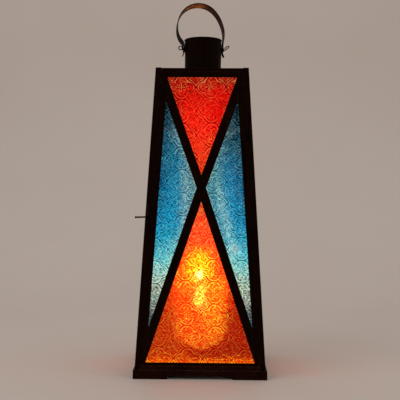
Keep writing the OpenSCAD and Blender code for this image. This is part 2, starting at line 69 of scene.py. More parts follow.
def centre(node):
    lo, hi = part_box(node)
    return (lo + hi) / 2


Z0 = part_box("base_plinth")[1].z                      # underside of the tapered body
Z1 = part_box("chimney_flange")[0].z                   # roof
_post = verts_of("corner_post_front_left")
HWB = -_post[:, 0].min()
_ztop = _post[:, 2].max()
HWT_P = -_post[_post[:, 2] > _ztop - 2e-4][:, 0].min()
LEAN = math.atan((HWB - HWT_P) / (_ztop - Z0))
SLOPE_L = (Z1 - Z0) / math.cos(LEAN)
HWT = HWB - (Z1 - Z0) * math.tan(LEAN)
SKEW = (HWB - HWT) / SLOPE_L


def face_matrix(i):
    """Local x across the face, y up the slope, z outwards; face 0 front, 1 right, 2 back, 3 left."""
    s, c = math.sin(LEAN), math.cos(LEAN)
    m = Matrix(((1, 0, 0, 0), (0, s, -c, -HWB), (0, c, s, Z0), (0, 0, 0, 1)))
    return Matrix.Rotation(math.radians(90 * i), 4, "Z") @ m


# ------------------------------------------------------------------ small helpers
def srgb(r, g, b):
    def f(c):
        c /= 255.0
        return c / 12.92 if c <= 0.04045 else ((c + 0.055) / 1.055) ** 2.4
    return (f(r), f(g), f(b), 1.0)


def new_mesh(name, verts, faces, smooth=True):
    me = bpy.data.meshes.new(name)
    me.from_pydata([tuple(v) for v in verts], [], faces)
    me.validate()
    if smooth:
        me.polygons.foreach_set("use_smooth", [True] * len(me.polygons))
    me.update()
    ob = bpy.data.objects.new(name, me)
    scene.collection.objects.link(ob)
    return ob


def tube(name, pts, rad, seg=16, caps=True, closed=False, taper=None):
    """A round wire swept along pts with parallel transport frames."""
    pts = [Vector(p) for p in pts]
    n = len(pts)
    tang = []
    for i in range(n):
        if closed:
            t = pts[(i + 1) % n] - pts[i - 1]
        else:
            t = pts[min(i + 1, n - 1)] - pts[max(i - 1, 0)]
        tang.append(t.normalized())
    ref = Vector((0, 0, 1)) if abs(tang[0].z) < 0.9 else Vector((1, 0, 0))
    nrm = (ref - tang[0] * ref.dot(tang[0])).normalized()
    verts, faces = [], []
    for i in range(n):
        nrm = (nrm - tang[i] * nrm.dot(tang[i])).normalized()
        bi = tang[i].cross(nrm)
        r = rad * (taper(i / (n - 1)) if taper else 1.0)
        for k in range(seg):
            a = 2 * math.pi * k / seg
            verts.append(pts[i] + nrm * (r * math.cos(a)) + bi * (r * math.sin(a)))
    rings = n if closed else n - 1
    for i in range(rings):
        for k in range(seg):
            a, b = i * seg + k, i * seg + (k + 1) % seg
            c, d = ((i + 1) % n) * seg + (k + 1) % seg, ((i + 1) % n) * seg + k
            faces.append((a, b, c, d))
    if caps and not closed:
        faces.append(tuple(range(seg))[::-1])
        faces.append(tuple((n - 1) * seg + k for k in range(seg)))
    return new_mesh(name, verts, faces)


def smooth_path(ctrl, per=8, closed=False):
    """Catmull-Rom through control points."""
    c = [Vector(p) for p in ctrl]
    out = []
    n = len(c)
    last = n if closed else n - 1
    for i in range(last):
        p0 = c[(i - 1) % n] if closed or i > 0 else c[0] * 2 - c[1]
        p1, p2 = c[i], c[(i + 1) % n]
        p3 = c[(i + 2) % n] if closed or i + 2 < n else c[-1] * 2 - c[-2]
        for k in range(per):
            t = k / per
            out.append(0.5 * ((2 * p1) + (p2 - p0) * t + (2 * p0 - 5 * p1 + 4 * p2 - p3) * t * t
                              + (3 * p1 - p0 - 3 * p2 + p3) * t ** 3))
    if not closed:
        out.append(c[-1])
    return out


# ------------------------------------------------------------------ node material helper
class Mat:
    def __init__(self, name):
        self.m = bpy.data.materials.new(name)
        self.m.use_nodes = True
        self.t = self.m.node_tree
        self.t.nodes.clear()
        self.out = self.n("ShaderNodeOutputMaterial")

    def n(self, kind, **kw):
        nd = self.t.nodes.new(kind)
        for k, v in kw.items():
            if k in ("inp",):
                for kk, vv in v.items():
                    if isinstance(vv, bpy.types.NodeSocket):
                        self.t.links.new(vv, nd.inputs[kk])
                    else:
                        nd.inputs[kk].default_value = vv
            else:
                setattr(nd, k, v)
        return nd

    def link(self, a, b):
        self.t.links.new(a, b)

    def coords(self):
        return self.n("ShaderNodeTexCoord").outputs["Object"]

    def noise(self, vec, scale, detail=4.0, rough=0.55, dist=0.0):
        return self.n("ShaderNodeTexNoise", inp={"Vector": vec, "Scale": scale, "Detail": detail,
                                                 "Roughness": rough, "Distortion": dist}).outputs["Fac"]

    def ramp(self, fac, stops, interp="LINEAR"):
        r = self.n("ShaderNodeValToRGB", inp={"Fac": fac})
        cr = r.color_ramp
        cr.interpolation = interp
        while len(cr.elements) > 1:
            cr.elements.remove(cr.elements[-1])
        cr.elements[0].position, cr.elements[0].color = stops[0][0], stops[0][1]
        for p, c in stops[1:]:
            e = cr.elements.new(p)
            e.color = c
        return r.outputs["Color"]

    def rng(self, val, a, b, c=0.0, d=1.0):
        return self.n("ShaderNodeMapRange", inp={"Value": val, "From Min": a, "From Max": b,
                                                 "To Min": c, "To Max": d}).outputs["Result"]

    def math(self, op, a, b=0.0, clamp=False):
        return self.n("ShaderNodeMath", operation=op, use_clamp=clamp, inp={0: a, 1: b}).outputs[0]

    def mix(self, fac, a, b, mode="MIX"):
        nd = self.n("ShaderNodeMix", data_type="RGBA", blend_type=mode)
        for idx, v in ((0, fac), (6, a), (7, b)):
            if isinstance(v, bpy.types.NodeSocket):
                self.link(v, nd.inputs[idx])
            else:
                nd.inputs[idx].default_value = v
        return nd.outputs[2]

    def attr(self, name, what="Fac"):
        return self.n("ShaderNodeAttribute", attribute_name=name).outputs[what]

    def bump(self, height, strength, dist, normal=None):
        inp = {"Height": height, "Strength": strength, "Distance": dist}
        if normal is not None:
            inp["Normal"] = normal
        return self.n("ShaderNodeBump", inp=inp).outputs["Normal"]

    def edge(self, radius, samples=4):
        """1 on convex edges, 0 on flats, from the angle between bevelled and plain normals."""
        bv = self.n("ShaderNodeBevel", samples=samples, inp={"Radius": radius}).outputs["Normal"]
        g = self.n("ShaderNodeNewGeometry").outputs["Normal"]
        d = self.n("ShaderNodeVectorMath", operation="DOT_PRODUCT", inp={0: bv, 1: g}).outputs["Value"]
        return self.rng(d, 0.985, 0.86)


def black_paint(name, base_a, base_b, wear, rough=(0.34, 0.62), dust=0.25, metal_under=True, edge_r=0.0006, glow_patch_z=None, across=None, spec=0.07):
    """Satin paint on sheet steel: brown-black blotches, orange peel, rubbed edges, a little dust on top faces."""
    M = Mat(name)
    co = M.coords()
    big = M.noise(co, 22.0, 5.0, 0.6)
    mid = M.noise(co, 140.0, 4.0, 0.6)
    fine = M.noise(co, 1500.0, 3.0, 0.5)
    col = M.ramp(M.math("ADD", M.math("MULTIPLY", big, 0.7), M.math("MULTIPLY", mid, 0.3)),
                 [(0.35, base_a), (0.68, base_b)])
    # vertical brush streaks left when the paint was laid on
    mp = M.n("ShaderNodeMapping", inp={"Vector": co, "Scale": (260.0, 260.0, 9.0)}).outputs["Vector"]
    streak = M.noise(mp, 1.0, 3.0, 0.5)
    col = M.mix(M.math("MULTIPLY", M.rng(streak, 0.52, 0.75), 0.35), col,
                tuple(min(1.0, c * 2.1) for c in base_b[:3]) + (1.0,))
    edge = M.edge(edge_r)
    chip = M.rng(M.noise(co, 420.0, 4.0, 0.65), 0.47, 0.60)
    rub = M.math("MULTIPLY", M.math("MULTIPLY", edge, chip), wear, True)
    col = M.mix(rub, col, srgb(142, 104, 74))
    # scattered pin-head chips
    vor = M.n("ShaderNodeTexVoronoi", inp={"Vector": co, "Scale": 230.0}).outputs["Distance"]
    pin = M.math("MULTIPLY", M.rng(vor, 0.10, 0.06), M.rng(M.noise(co, 60.0, 2.0), 0.58, 0.66))
    col = M.mix(M.math("MULTIPLY", pin, 0.45), col, srgb(120, 92, 70))
    nz = M.n("ShaderNodeSeparateXYZ", inp={0: M.n("ShaderNodeNewGeometry").outputs["Normal"]}).outputs["Z"]
    du = M.math("MULTIPLY", M.rng(nz, 0.5, 1.0), M.math("MULTIPLY", M.rng(mid, 0.4, 0.62), dust))
    col = M.mix(du, col, srgb(116, 100, 86))
    rgh = M.math("ADD", M.rng(mid, 0.3, 0.7, rough[0], rough[1]), M.math("MULTIPLY", du, 0.4), True)
    bmp = M.bump(fine, 0.22, 0.00008)
    bmp = M.bump(mid, 0.28, 0.0004, bmp)
    bmp = M.bump(M.math("SUBTRACT", 1.0, rub), 0.5, 0.00008, bmp)
    if glow_patch_z:                                           # painted light: warm glow from the chimney on the top of the bow, mostly left of centre, in bare-steel browns
        z = M.n("ShaderNodeSeparateXYZ", inp={0: co}).outputs["Z"]
        glow_noise = M.noise(M.n("ShaderNodeMapping", inp={"Vector": co, "Scale": (60.0, 420.0, 60.0)}).outputs["Vector"], 1.0, 4.0, 0.6)
        xx = M.n("ShaderNodeSeparateXYZ", inp={0: co}).outputs["X"]
        where = M.math("ADD", M.rng(xx, 0.007, -0.007), M.rng(xx, 0.036, 0.010, 0.0, 0.16), True)
        glow_mask = M.math("MULTIPLY", M.math("MULTIPLY", M.rng(z, glow_patch_z[0], glow_patch_z[1]), where), M.rng(glow_noise, 0.40, 0.62), True)
        if across:                                     # the painted glow is kept off both rims of the strap
            nv, w0, half = across
            dv = M.n("ShaderNodeVectorMath", inp={0: co, 1: nv})
            dv.operation = "DOT_PRODUCT"
            off = M.math("ABSOLUTE", M.math("SUBTRACT", dv.outputs["Value"], w0), 0.0)
            glow_mask = M.math("MULTIPLY", glow_mask, M.rng(off, half * 0.86, half * 0.48))
        col = M.mix(M.math("MULTIPLY", glow_mask, 0.85), col, M.ramp(mid, [(0.35, srgb(84, 48, 24)), (0.62, srgb(150, 98, 52))]))
    bs = M.n("ShaderNodeBsdfPrincipled", inp={
        "Base Color": col, "Roughness": rgh, "Normal": bmp,
        "Metallic": M.math("MULTIPLY", rub, 0.8 if metal_under else 0.0),
        "Specular IOR Level": spec, "Specular Tint": (1.0, 0.55, 0.36, 1.0)})
    M.link(bs.outputs[0], M.out.inputs["Surface"])
    return M.m


MAT_SHEET = black_paint("black_sheet_paint", srgb(7, 1, 1), srgb(22, 7, 3), 0.35, rough=(0.40, 0.62), dust=0.05, spec=0.045)
# plinth and bottom frame: warmer brown paint with more rubbed edges; the brown is painted warm reflection of the glow,
# and the bright edges are partly real wear and partly painted corner glints
MAT_BASE_GLINTS = black_paint("base_paint_warm_glints", srgb(13, 2, 1), srgb(40, 12, 5), 0.75, rough=(0.36, 0.56), dust=0.04, edge_r=0.0009, spec=0.06)
MAT_HW = black_paint("dark_hardware_paint", srgb(8, 4, 3), srgb(22, 11, 7), 0.55,
                     rough=(0.34, 0.55), dust=0.08, edge_r=0.0003)
MAT_WIRE = black_paint("blackened_wire", srgb(6, 2, 1), srgb(18, 8, 5), 0.06,
                       rough=(0.36, 0.55), dust=0.04, edge_r=0.0001, spec=0.03)


def cup_material():
    M = Mat("cup_tinned_steel")
    co = M.coords()
    n1 = M.noise(co, 90.0, 6.0, 0.62)
    n2 = M.noise(co, 900.0, 3.0, 0.5)
    col = M.ramp(n1, [(0.36, srgb(52, 44, 38)), (0.55, srgb(86, 74, 62)), (0.72, srgb(120, 84, 54))])
    e = M.edge(0.0006)
    col = M.mix(M.math("MULTIPLY", e, 0.6), col, srgb(170, 152, 130))
    wax = M.rng(M.noise(co, 150.0, 3.0, 0.5), 0.60, 0.66)
    col = M.mix(M.math("MULTIPLY", wax, 0.7), col, srgb(214, 196, 160))
    bs = M.n("ShaderNodeBsdfPrincipled", inp={
        "Base Color": col, "Metallic": M.rng(wax, 0.0, 1.0, 0.75, 0.05),
        "Roughness": M.rng(n1, 0.3, 0.7, 0.32, 0.6),
        "Normal": M.bump(n2, 0.2, 0.0001, M.bump(wax, 0.6, 0.0003))})
    M.link(bs.outputs[0], M.out.inputs["Surface"])
    return M.m


MAT_CUP = cup_material()


# ------------------------------------------------------------------ finish for the CAD sheet and hardware that stays
def smooth_group(angle):
    g = bpy.data.node_groups.new("soft_by_angle", "GeometryNodeTree")
    g.interface.new_socket("Geometry", in_out="INPUT", socket_type="NodeSocketGeometry")
    g.interface.new_socket("Geometry", in_out="OUTPUT", socket_type="NodeSocketGeometry")
    gi, go = g.nodes.new("NodeGroupInput"), g.nodes.new("NodeGroupOutput")
    a = g.nodes.new("GeometryNodeSetShadeSmooth")
    a.domain = "FACE"
    a.inputs["Shade Smooth"].default_value = True
    b = g.nodes.new("GeometryNodeSetShadeSmooth")
    b.domain = "EDGE"
    ea = g.nodes.new("GeometryNodeInputMeshEdgeAngle")
    lt = g.nodes.new("FunctionNodeCompare")
    lt.data_type, lt.operation = "FLOAT", "LESS_THAN"
    lt.inputs["B"].default_value = math.radians(angle)
    g.links.new(ea.outputs["Unsigned Angle"], lt.inputs["A"])
    g.links.new(gi.outputs[0], a.inputs["Geometry"])
    g.links.new(a.outputs[0], b.inputs["Geometry"])
    g.links.new(lt.outputs["Result"], b.inputs["Shade Smooth"])
    g.links.new(b.outputs[0], go.inputs[0])
    return g


SOFT = smooth_group(32)


def dress(node, mat, bevel=0.00022, segs=2):
    ob = NODES[node]
    if not ob.material_slots:
        ob.data.materials.append(mat)
    for s in ob.material_slots:
        s.material = mat
    w = ob.modifiers.new("weld", "WELD")
    w.merge_threshold = 2e-6
    gm = ob.modifiers.new("soft", "NODES")
    gm.node_group = SOFT
    if bevel:
        b = ob.modifiers.new("edge", "BEVEL")
        b.width, b.segments, b.limit_method = bevel, segs, "ANGLE"
        b.angle_limit = math.radians(38)
        b.use_clamp_overlap = True
        b.harden_normals = True
    return ob


SHEET = ["base_plinth", "bottom_frame", "corner_post_front_left", "corner_post_front_right",
         "corner_post_back_right", "corner_post_back_left", "roof_plate", "chimney_flange",
         "chimney_vent_disc", "door_stop_strip", "door_frame", "door_cross_bar_long",
         "door_cross_bar_halves"]
for side in ("right", "back", "left"):
    SHEET += [side + "_panel_frame", side + "_cross_bars"]
HARD = ["base_rivets", "chimney_flange_rivets", "handle_washers", "door_glass_clips",
        "hinge_post_leaf_upper", "hinge_post_leaf_lower", "hinge_pin_upper", "hinge_pin_lower",
        "hinge_door_leaf_upper", "hinge_door_leaf_lower", "hinge_rivets", "latch_barrel"]
HARD += [s + "_glass_clips" for s in ("right", "back", "left")]
for n in SHEET:
    dress(n, MAT_BASE_GLINTS if n in ("base_plinth", "bottom_frame") else MAT_SHEET)
for n in HARD:
    dress(n, MAT_WIRE if n.startswith("hinge_door_leaf") or n.startswith("hinge_post_leaf") else MAT_HW, 0.00012, 1)
dress("candle_cup", MAT_CUP, 0.0)


def hinge_side_stop():
    """Twin of the door's stop strip on the hinge side: it closes the running gap from behind."""
    src = NODES["door_stop_strip"]
    pts = [src.matrix_world @ v.co for v in src.data.vertices]
    ob = new_mesh("hinge_side_stop", [(-p.x, p.y, p.z) for p in pts],
                  [tuple(reversed(f.vertices)) for f in src.data.polygons])
    for f in ob.data.polygons:
        f.use_smooth = False
    ob.data.materials.append(MAT_SHEET)
    w = ob.modifiers.new("weld", "WELD")
    w.merge_threshold = 2e-6
    gm = ob.modifiers.new("soft", "NODES")
    gm.node_group = SOFT
    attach(ob, "body")


hinge_side_stop()


# ------------------------------------------------------------------ pressed-glass relief: one periodic cell, heights 0..1
CELL_A, CELL_B, CELL_RES = 36.9, 28.6, 0.15       # millimetres
NXC, NYC = int(CELL_A / CELL_RES), int(CELL_B / CELL_RES)


def seg_dist(px, py, ax, ay, bx, by):
    dx, dy = bx - ax, by - ay
    t = np.clip(((px - ax) * dx + (py - ay) * dy) / (dx * dx + dy * dy + 1e-12), 0, 1)
    return np.hypot(px - ax - t * dx, py - ay - t * dy)


def poly_dist(px, py, pts):
    d = np.full(px.shape, 1e9)
    for (ax, ay), (bx, by) in zip(pts[:-1], pts[1:]):
        d = np.minimum(d, seg_dist(px, py, ax, ay, bx, by))
    return d


def ridge(d, w):
    return np.exp(-(d / w) ** 2)


def leaf(px, py, cx, cy, ang, ln, wd):
    """Signed-ish field of a pointed leaf: 1 inside, falling off at the rim, plus a vein."""
    c, s = math.cos(ang), math.sin(ang)
    u = (px - cx) * c + (py - cy) * s
    v = -(px - cx) * s + (py - cy) * c
    half = wd * np.sqrt(np.clip(1 - (2 * (u / ln) - 1) ** 2, 0, None)) * (0.65 + 0.35 * u / ln)
    inside = np.clip((half - np.abs(v)) / 0.45, 0, 1) * (u > 0) * (u < ln)
    vein = ridge(v, 0.22) * inside * 0.45
    return inside * 0.72 - vein


def build_cell():
    """One repeat of the pressed pattern: H is the relief, T the tone (-1 deep colour, +1 bright line)."""
    x = (np.arange(NXC) + 0.5) / NXC * CELL_A - CELL_A / 2
    y = (np.arange(NYC) + 0.5) / NYC * CELL_B - CELL_B / 2
    X, Y = np.meshgrid(x, y)
    ax, ay = np.abs(X), np.abs(Y)
    H, T = np.zeros_like(X), np.zeros_like(X)

    def bright(m, k=1.0):
        nonlocal T
        T = T * (1 - m) + k * m

    # ground: random pips, some standing bright and some sunk deep
    for _ in range(760):
        cx, cy = RNG.uniform(-CELL_A / 2, CELL_A / 2), RNG.uniform(-CELL_B / 2, CELL_B / 2)
        ddx, ddy = np.abs(X - cx), np.abs(Y - cy)
        ddx, ddy = np.minimum(ddx, CELL_A - ddx), np.minimum(ddy, CELL_B - ddy)
        m = ridge(np.hypot(ddx * RNG.uniform(0.6, 1.2), ddy * RNG.uniform(0.8, 1.4)), RNG.uniform(0.42, 0.75))
        k = RNG.uniform(0.45, 1.0) * (1 if RNG.random() < 0.5 else -1)
        H = np.maximum(H, 0.30 * m)
        bright(m * 0.85, k)
    # quatrefoil of four round lobes, slightly softened where they meet
    ds = [np.hypot(ax - 9.5, ay) - 6.3, np.hypot(ax, ay - 5.5) - 7.6]
    k = 1.5
    hh = np.clip(0.5 + 0.5 * (ds[1] - ds[0]) / k, 0, 1)
    sd = ds[1] * (1 - hh) + ds[0] * hh - k * hh * (1 - hh)
    inner = ridge(sd + 0.1, 0.52)
    ogee = [(CELL_A / 2, 0.0), (16.9, 2.0), (15.3, 4.1), (13.4, 6.0), (11.4, 7.2), (9.8, 7.9), (9.1, 9.0),
            (8.2, 10.9), (6.5, 12.7), (3.9, 13.9), (0.0, CELL_B / 2)]
    d_og = poly_dist(ax, ay, ogee)
    outside = ay > np.interp(ax, [q[0] for q in ogee[::-1]], [q[1] for q in ogee[::-1]])
    groove = ridge(d_og, 0.48)
    outer = ridge(d_og - 1.3, 0.50) * outside
    bright(0.55 * ridge(sd + 1.35, 0.5), -0.8)
    bright(0.7 * ridge(d_og - 2.5, 0.5) * outside, -0.8)
    H = np.maximum(H * (1 - 0.9 * groove), np.maximum(inner, 0.8 * outer))
    bright(inner, 0.9)
    bright(outer, 0.8)
    bright(groove, -0.9)
    # a sunk drop in every lobe with a bright rim
    for (cx, cy, rx, ry) in ((9.3, 0.0, 2.2, 0.75), (0.0, 7.2, 1.7, 0.9)):
        e = np.hypot((ax - cx) / rx, (ay - cy) / ry)
        rim = ridge((e - 1.6) * min(rx, ry), 0.42)
        H = np.maximum(H, 0.45 * rim)
        bright(0.6 * rim, 0.7)
        drop = np.clip((1.15 - e) / 0.45, 0, 1)
        H = np.where(drop > 0, H * (1 - drop) + 0.75 * drop, H)
        bright(drop, -0.62)
    # centre flower: eight narrow petals and a button
    r, th = np.hypot(X, Y * 1.12), np.arctan2(Y * 1.12, X)
    pet = np.clip((np.cos(8 * th) - 0.1) / 0.5, 0, 1) * np.clip((5.0 - r) / 0.8, 0, 1) * np.clip((r - 1.2) / 0.5, 0, 1)
    gap = np.clip((-np.cos(8 * th) - 0.1) / 0.5, 0, 1) * np.clip((4.6 - r) / 0.8, 0, 1) * np.clip((r - 1.2) / 0.5, 0, 1)
    H = np.maximum(H * (1 - gap), 0.7 * pet)
    bright(pet, 0.75)
    bright(gap, -0.9)
    H = np.maximum(H, 0.9 * ridge(r, 0.9))
    bright(ridge(r, 0.8), 0.9)
    # small leaves on the diagonals
    for sx in (-1, 1):
        for sy in (-1, 1):
            a = math.atan2(sy * 4.4, sx * 6.6)
            m = leaf(X, Y, sx * 4.4, sy * 2.9, a, 4.6, 0.9)
            H = np.maximum(H, m)
            bright(np.clip(m, 0, 1), 0.55)
    # eight-dot rosette in the gap between four medallions
    gx, gy = CELL_A / 2 - ax, CELL_B / 2 - ay
    dots = [(0.0, 0.0, 0.95)]
    for q in range(8):
        aa = math.radians(22.5 + 45 * q)
        dots.append((6.6 * math.cos(aa), 4.9 * math.sin(aa), 0.9))
    for (dx, dy, rr) in dots:
        if dx < -1e-6 or dy < -1e-6:
            continue
        e = np.hypot(gx - dx, gy - dy)
        rim = ridge(e - rr - 0.35, 0.36)
        H = np.maximum(H, 0.4 * rim)
        bright(0.75 * rim, 0.8)
        m = np.clip((rr - e) / 0.35 + 0.4, 0, 1)
        H = np.where(m > 0, H * (1 - m) + 0.8 * m, H)
        bright(m, -0.62)
    for q in range(3):
        aa = math.radians(45 * q)
        px, py = 3.3 * math.cos(aa), 2.7 * math.sin(aa)
        e = np.hypot(gx - px, gy - py)
        H = np.maximum(H, 0.7 * ridge(e, 0.6))
        bright(ridge(e, 0.55), 0.9)
    return np.clip(H, 0, 1), np.clip(T, -1, 1)


CELL, TONE = build_cell()


def cell_sample(x, v, origin, a, b):
    """Relief and tone at face-local millimetres; origin is a tip-to-tip junction, a and b the lattice steps."""
    det = a[0] * b[1] - a[1] * b[0]
    rx, rv = x - origin[0], v - origin[1]
    u = (rx * b[1] - rv * b[0]) / det + 0.5           # junctions sit half a cell from a medallion centre
    w = (a[0] * rv - a[1] * rx) / det
    fx = (u - np.floor(u + 0.5) + 0.5) * NXC - 0.5
    fy = (w - np.floor(w + 0.5) + 0.5) * NYC - 0.5
    ix, iy = np.floor(fx).astype(int), np.floor(fy).astype(int)
    tx, ty = fx - ix, fy - iy
    ix0, ix1, iy0, iy1 = ix % NXC, (ix + 1) % NXC, iy % NYC, (iy + 1) % NYC

    def s(C):
        return ((C[iy0, ix0] * (1 - tx) + C[iy0, ix1] * tx) * (1 - ty)
                + (C[iy1, ix0] * (1 - tx) + C[iy1, ix1] * tx) * ty)
    return s(CELL), s(TONE)


def hull2d(pts):
    pts = sorted(set((round(float(p[0]), 4), round(float(p[1]), 4)) for p in pts))
    def half(seq):
        h = []
        for p in seq:
            while len(h) > 1 and ((h[-1][0] - h[-2][0]) * (p[1] - h[-2][1])
                                  - (h[-1][1] - h[-2][1]) * (p[0] - h[-2][0])) <= 1e-6:
                h.pop()
            h.append(p)
        return h
    lo, up = half(pts), half(pts[::-1])
    return lo[:-1] + up[:-1]


def vnoise(x, y, s, seed):
    """Smooth value noise 0..1 at scale s millimetres."""
    r = np.random.default_rng(seed).random((64, 64))
    fx, fy = x / s + 1000.0, y / s + 1000.0
    ix, iy = np.floor(fx).astype(int), np.floor(fy).astype(int)
    tx, ty = fx - ix, fy - iy
    tx, ty = tx * tx * (3 - 2 * tx), ty * ty * (3 - 2 * ty)
    g = lambda a, b: r[b % 64, a % 64]
    return (g(ix, iy) * (1 - tx) + g(ix + 1, iy) * tx) * (1 - ty) + (g(ix, iy + 1) * (1 - tx) + g(ix + 1, iy + 1) * tx) * ty


def lerp3(a, b, t):
    t = np.clip(t, 0, 1)[:, None]
    return np.asarray(a)[None, :3] * (1 - t) + np.asarray(b)[None, :3] * t if np.ndim(a) == 1 or isinstance(a, tuple) else a * (1 - t) + np.asarray(b)[None, :3] * t


def over(base, col, t):
    t = np.clip(t, 0, 1)[:, None]
    return base * (1 - t) + np.asarray(col)[None, :3] * t


CROSS_V = None


def sstep(a, b, x):
    t = np.clip((x - a) / (b - a), 0, 1)
    return t * t * (3 - 2 * t)


def table(v, stops):
    """Linear-light colour interpolated down a short list of (height on the face, sRGB colour) stops."""
    vs = np.array([q[0] for q in stops], float)
    cs = np.array([srgb(*q[1])[:3] for q in stops])
    o = np.argsort(vs)
    return np.stack([np.interp(v, vs[o], cs[o, i]) for i in range(3)], 1)


# the glow_* maps give each pane's colour as it looks lit from behind by the candle, and k its glow strength; the panes
# emit this colour, so the falloff from the flame and the halos, shadows and glints in it are painted light
def glow_red(x, v, edge, seed, tone):
    t = (v - v.min()) / (v.max() - v.min())
    c = table(v, [(240, (240, 54, 22)), (285, (242, 44, 20)), (325, (240, 17, 8)), (355, (216, 13, 6)), (378, (190, 14, 7))])
    side = sstep(24, 40, np.abs(x)) * sstep(300, 330, v)
    c = over(c, srgb(176, 18, 8), side * 0.7)
    c = over(c, srgb(226, 6, 3), sstep(6, 22, x) * sstep(372, 350, v) * sstep(290, 320, v) * 0.7)
    n = vnoise(x, v, 9.0, seed) * 0.6 + vnoise(x, v, 3.1, seed + 1) * 0.4
    c = over(c, srgb(246, 70, 32), np.clip((n - 0.5) * 3, 0, 1) * 0.3)
    # painted glints: faint golden flecks along the top of the pane and its right-hand edge
    golden_glints = np.clip((n - 0.45) * 4, 0, 1) * np.clip(sstep(0.84, 0.98, t) + 0.7 * sstep(7, 2, edge) * (x > 0), 0, 1)
    c = over(c, srgb(190, 128, 70), golden_glints * 0.10)
    # painted light on the upper edges: cream glints on the pattern's bright lines, painted shade on its deep lines
    upper_edge_glints_and_shade = np.clip(sstep(352, 366, v) + 0.6 * sstep(9, 3, edge) * sstep(300, 330, v), 0, 1)
    fine = vnoise(x * 0.5, v * 1.4, 1.5, seed + 8)
    c = over(c, srgb(214, 132, 74), upper_edge_glints_and_shade * np.clip((tone - 0.30) * 2.2, 0, 1) * np.clip((fine - 0.50) * 6, 0, 1) * 0.50)
    c = over(c, srgb(96, 8, 5), upper_edge_glints_and_shade * np.clip(-tone * 1.4, 0, 1) * 0.6)
    return c, 0.78 + 0.10 * np.exp(-((x / 16.0) ** 2 + ((v - 325.0) / 30.0) ** 2))


def glow_orange(x, v, edge, seed, tone):
    left, right = (198, 50, 8), (176, 28, 5)
    c = table(v, [(8, (255, 104, 8)), (11.5, (244, 82, 7)), (15, (222, 66, 8)), (24, (206, 56, 8)), (32, left), (92, (206, 50, 11)), (125, (244, 60, 17)), (160, (242, 74, 34)), (232, (240, 74, 37))])
    c = over(c, srgb(*right), sstep(-5, 12, x) * sstep(110, 80, v) * sstep(12, 22, v))
    n = vnoise(x, v, 8.0, seed) * 0.6 + vnoise(x, v, 2.7, seed + 1) * 0.4
    # painted glow of the lit candle body seen through the pane, rounded at its foot
    foot = 23.6 + 16.5 * (x / 31.0) ** 2
    body = sstep(-1.5, 7.0, v - foot) * sstep(42, 20, np.abs(x + 1)) * sstep(128, 104, v)
    # painted light of the flame: a yellow halo, a white-hot spot at its foot and a bright streak below it
    halo = np.exp(-((((x + 2) / 19.0) ** 2 + ((v - 131) / 21.5) ** 2)) ** 1.8)
    hot = np.exp(-(((x + 2) / 3.4) ** 2 + ((v - 120.5) / 4.8) ** 2))
    stk = np.exp(-((x + 1) / 6.0) ** 2) * sstep(110, 101, v) * sstep(70, 90, v)
    c = over(c, srgb(248, 84, 17), body)
    c = over(c, srgb(250, 138, 26), body * sstep(-4, 16, x) * sstep(26, 60, v) * 0.6)
    c = over(c, srgb(252, 160, 40), np.clip((n - 0.5) * 3, 0, 1) * 0.4 * body)
    c = over(c, srgb(252, 180, 22), halo * 0.97)
    c = over(c, srgb(253, 228, 84), stk * 0.94)
    c = over(c, srgb(255, 248, 168), hot)
    # painted shadow of the candle cup: a dark red band along the candle's rounded foot
    cup_shadow = sstep(5.0, -1.0, v - foot) * sstep(-10.5, -3.0, v - foot) * sstep(26, 14, np.abs(x))
    c = over(c, srgb(166, 0, 0), cup_shadow)
    # painted reflection: a thin bright slanting line left of the flame
    refl = np.exp(-((x + 29 + (v - 118) * 0.28) / 1.6) ** 2) * sstep(98, 108, v) * sstep(140, 128, v)
    c = over(c, srgb(255, 180, 50), refl * 0.7)
    # painted glow strength: stronger in the halo, the hot spot, the streak and along the bottom edge
    k = 0.70 + 0.12 * halo + 0.7 * hot + 0.12 * stk + 0.14 * sstep(14.5, 10.5, v) + 0.05 * cup_shadow
    return c, k


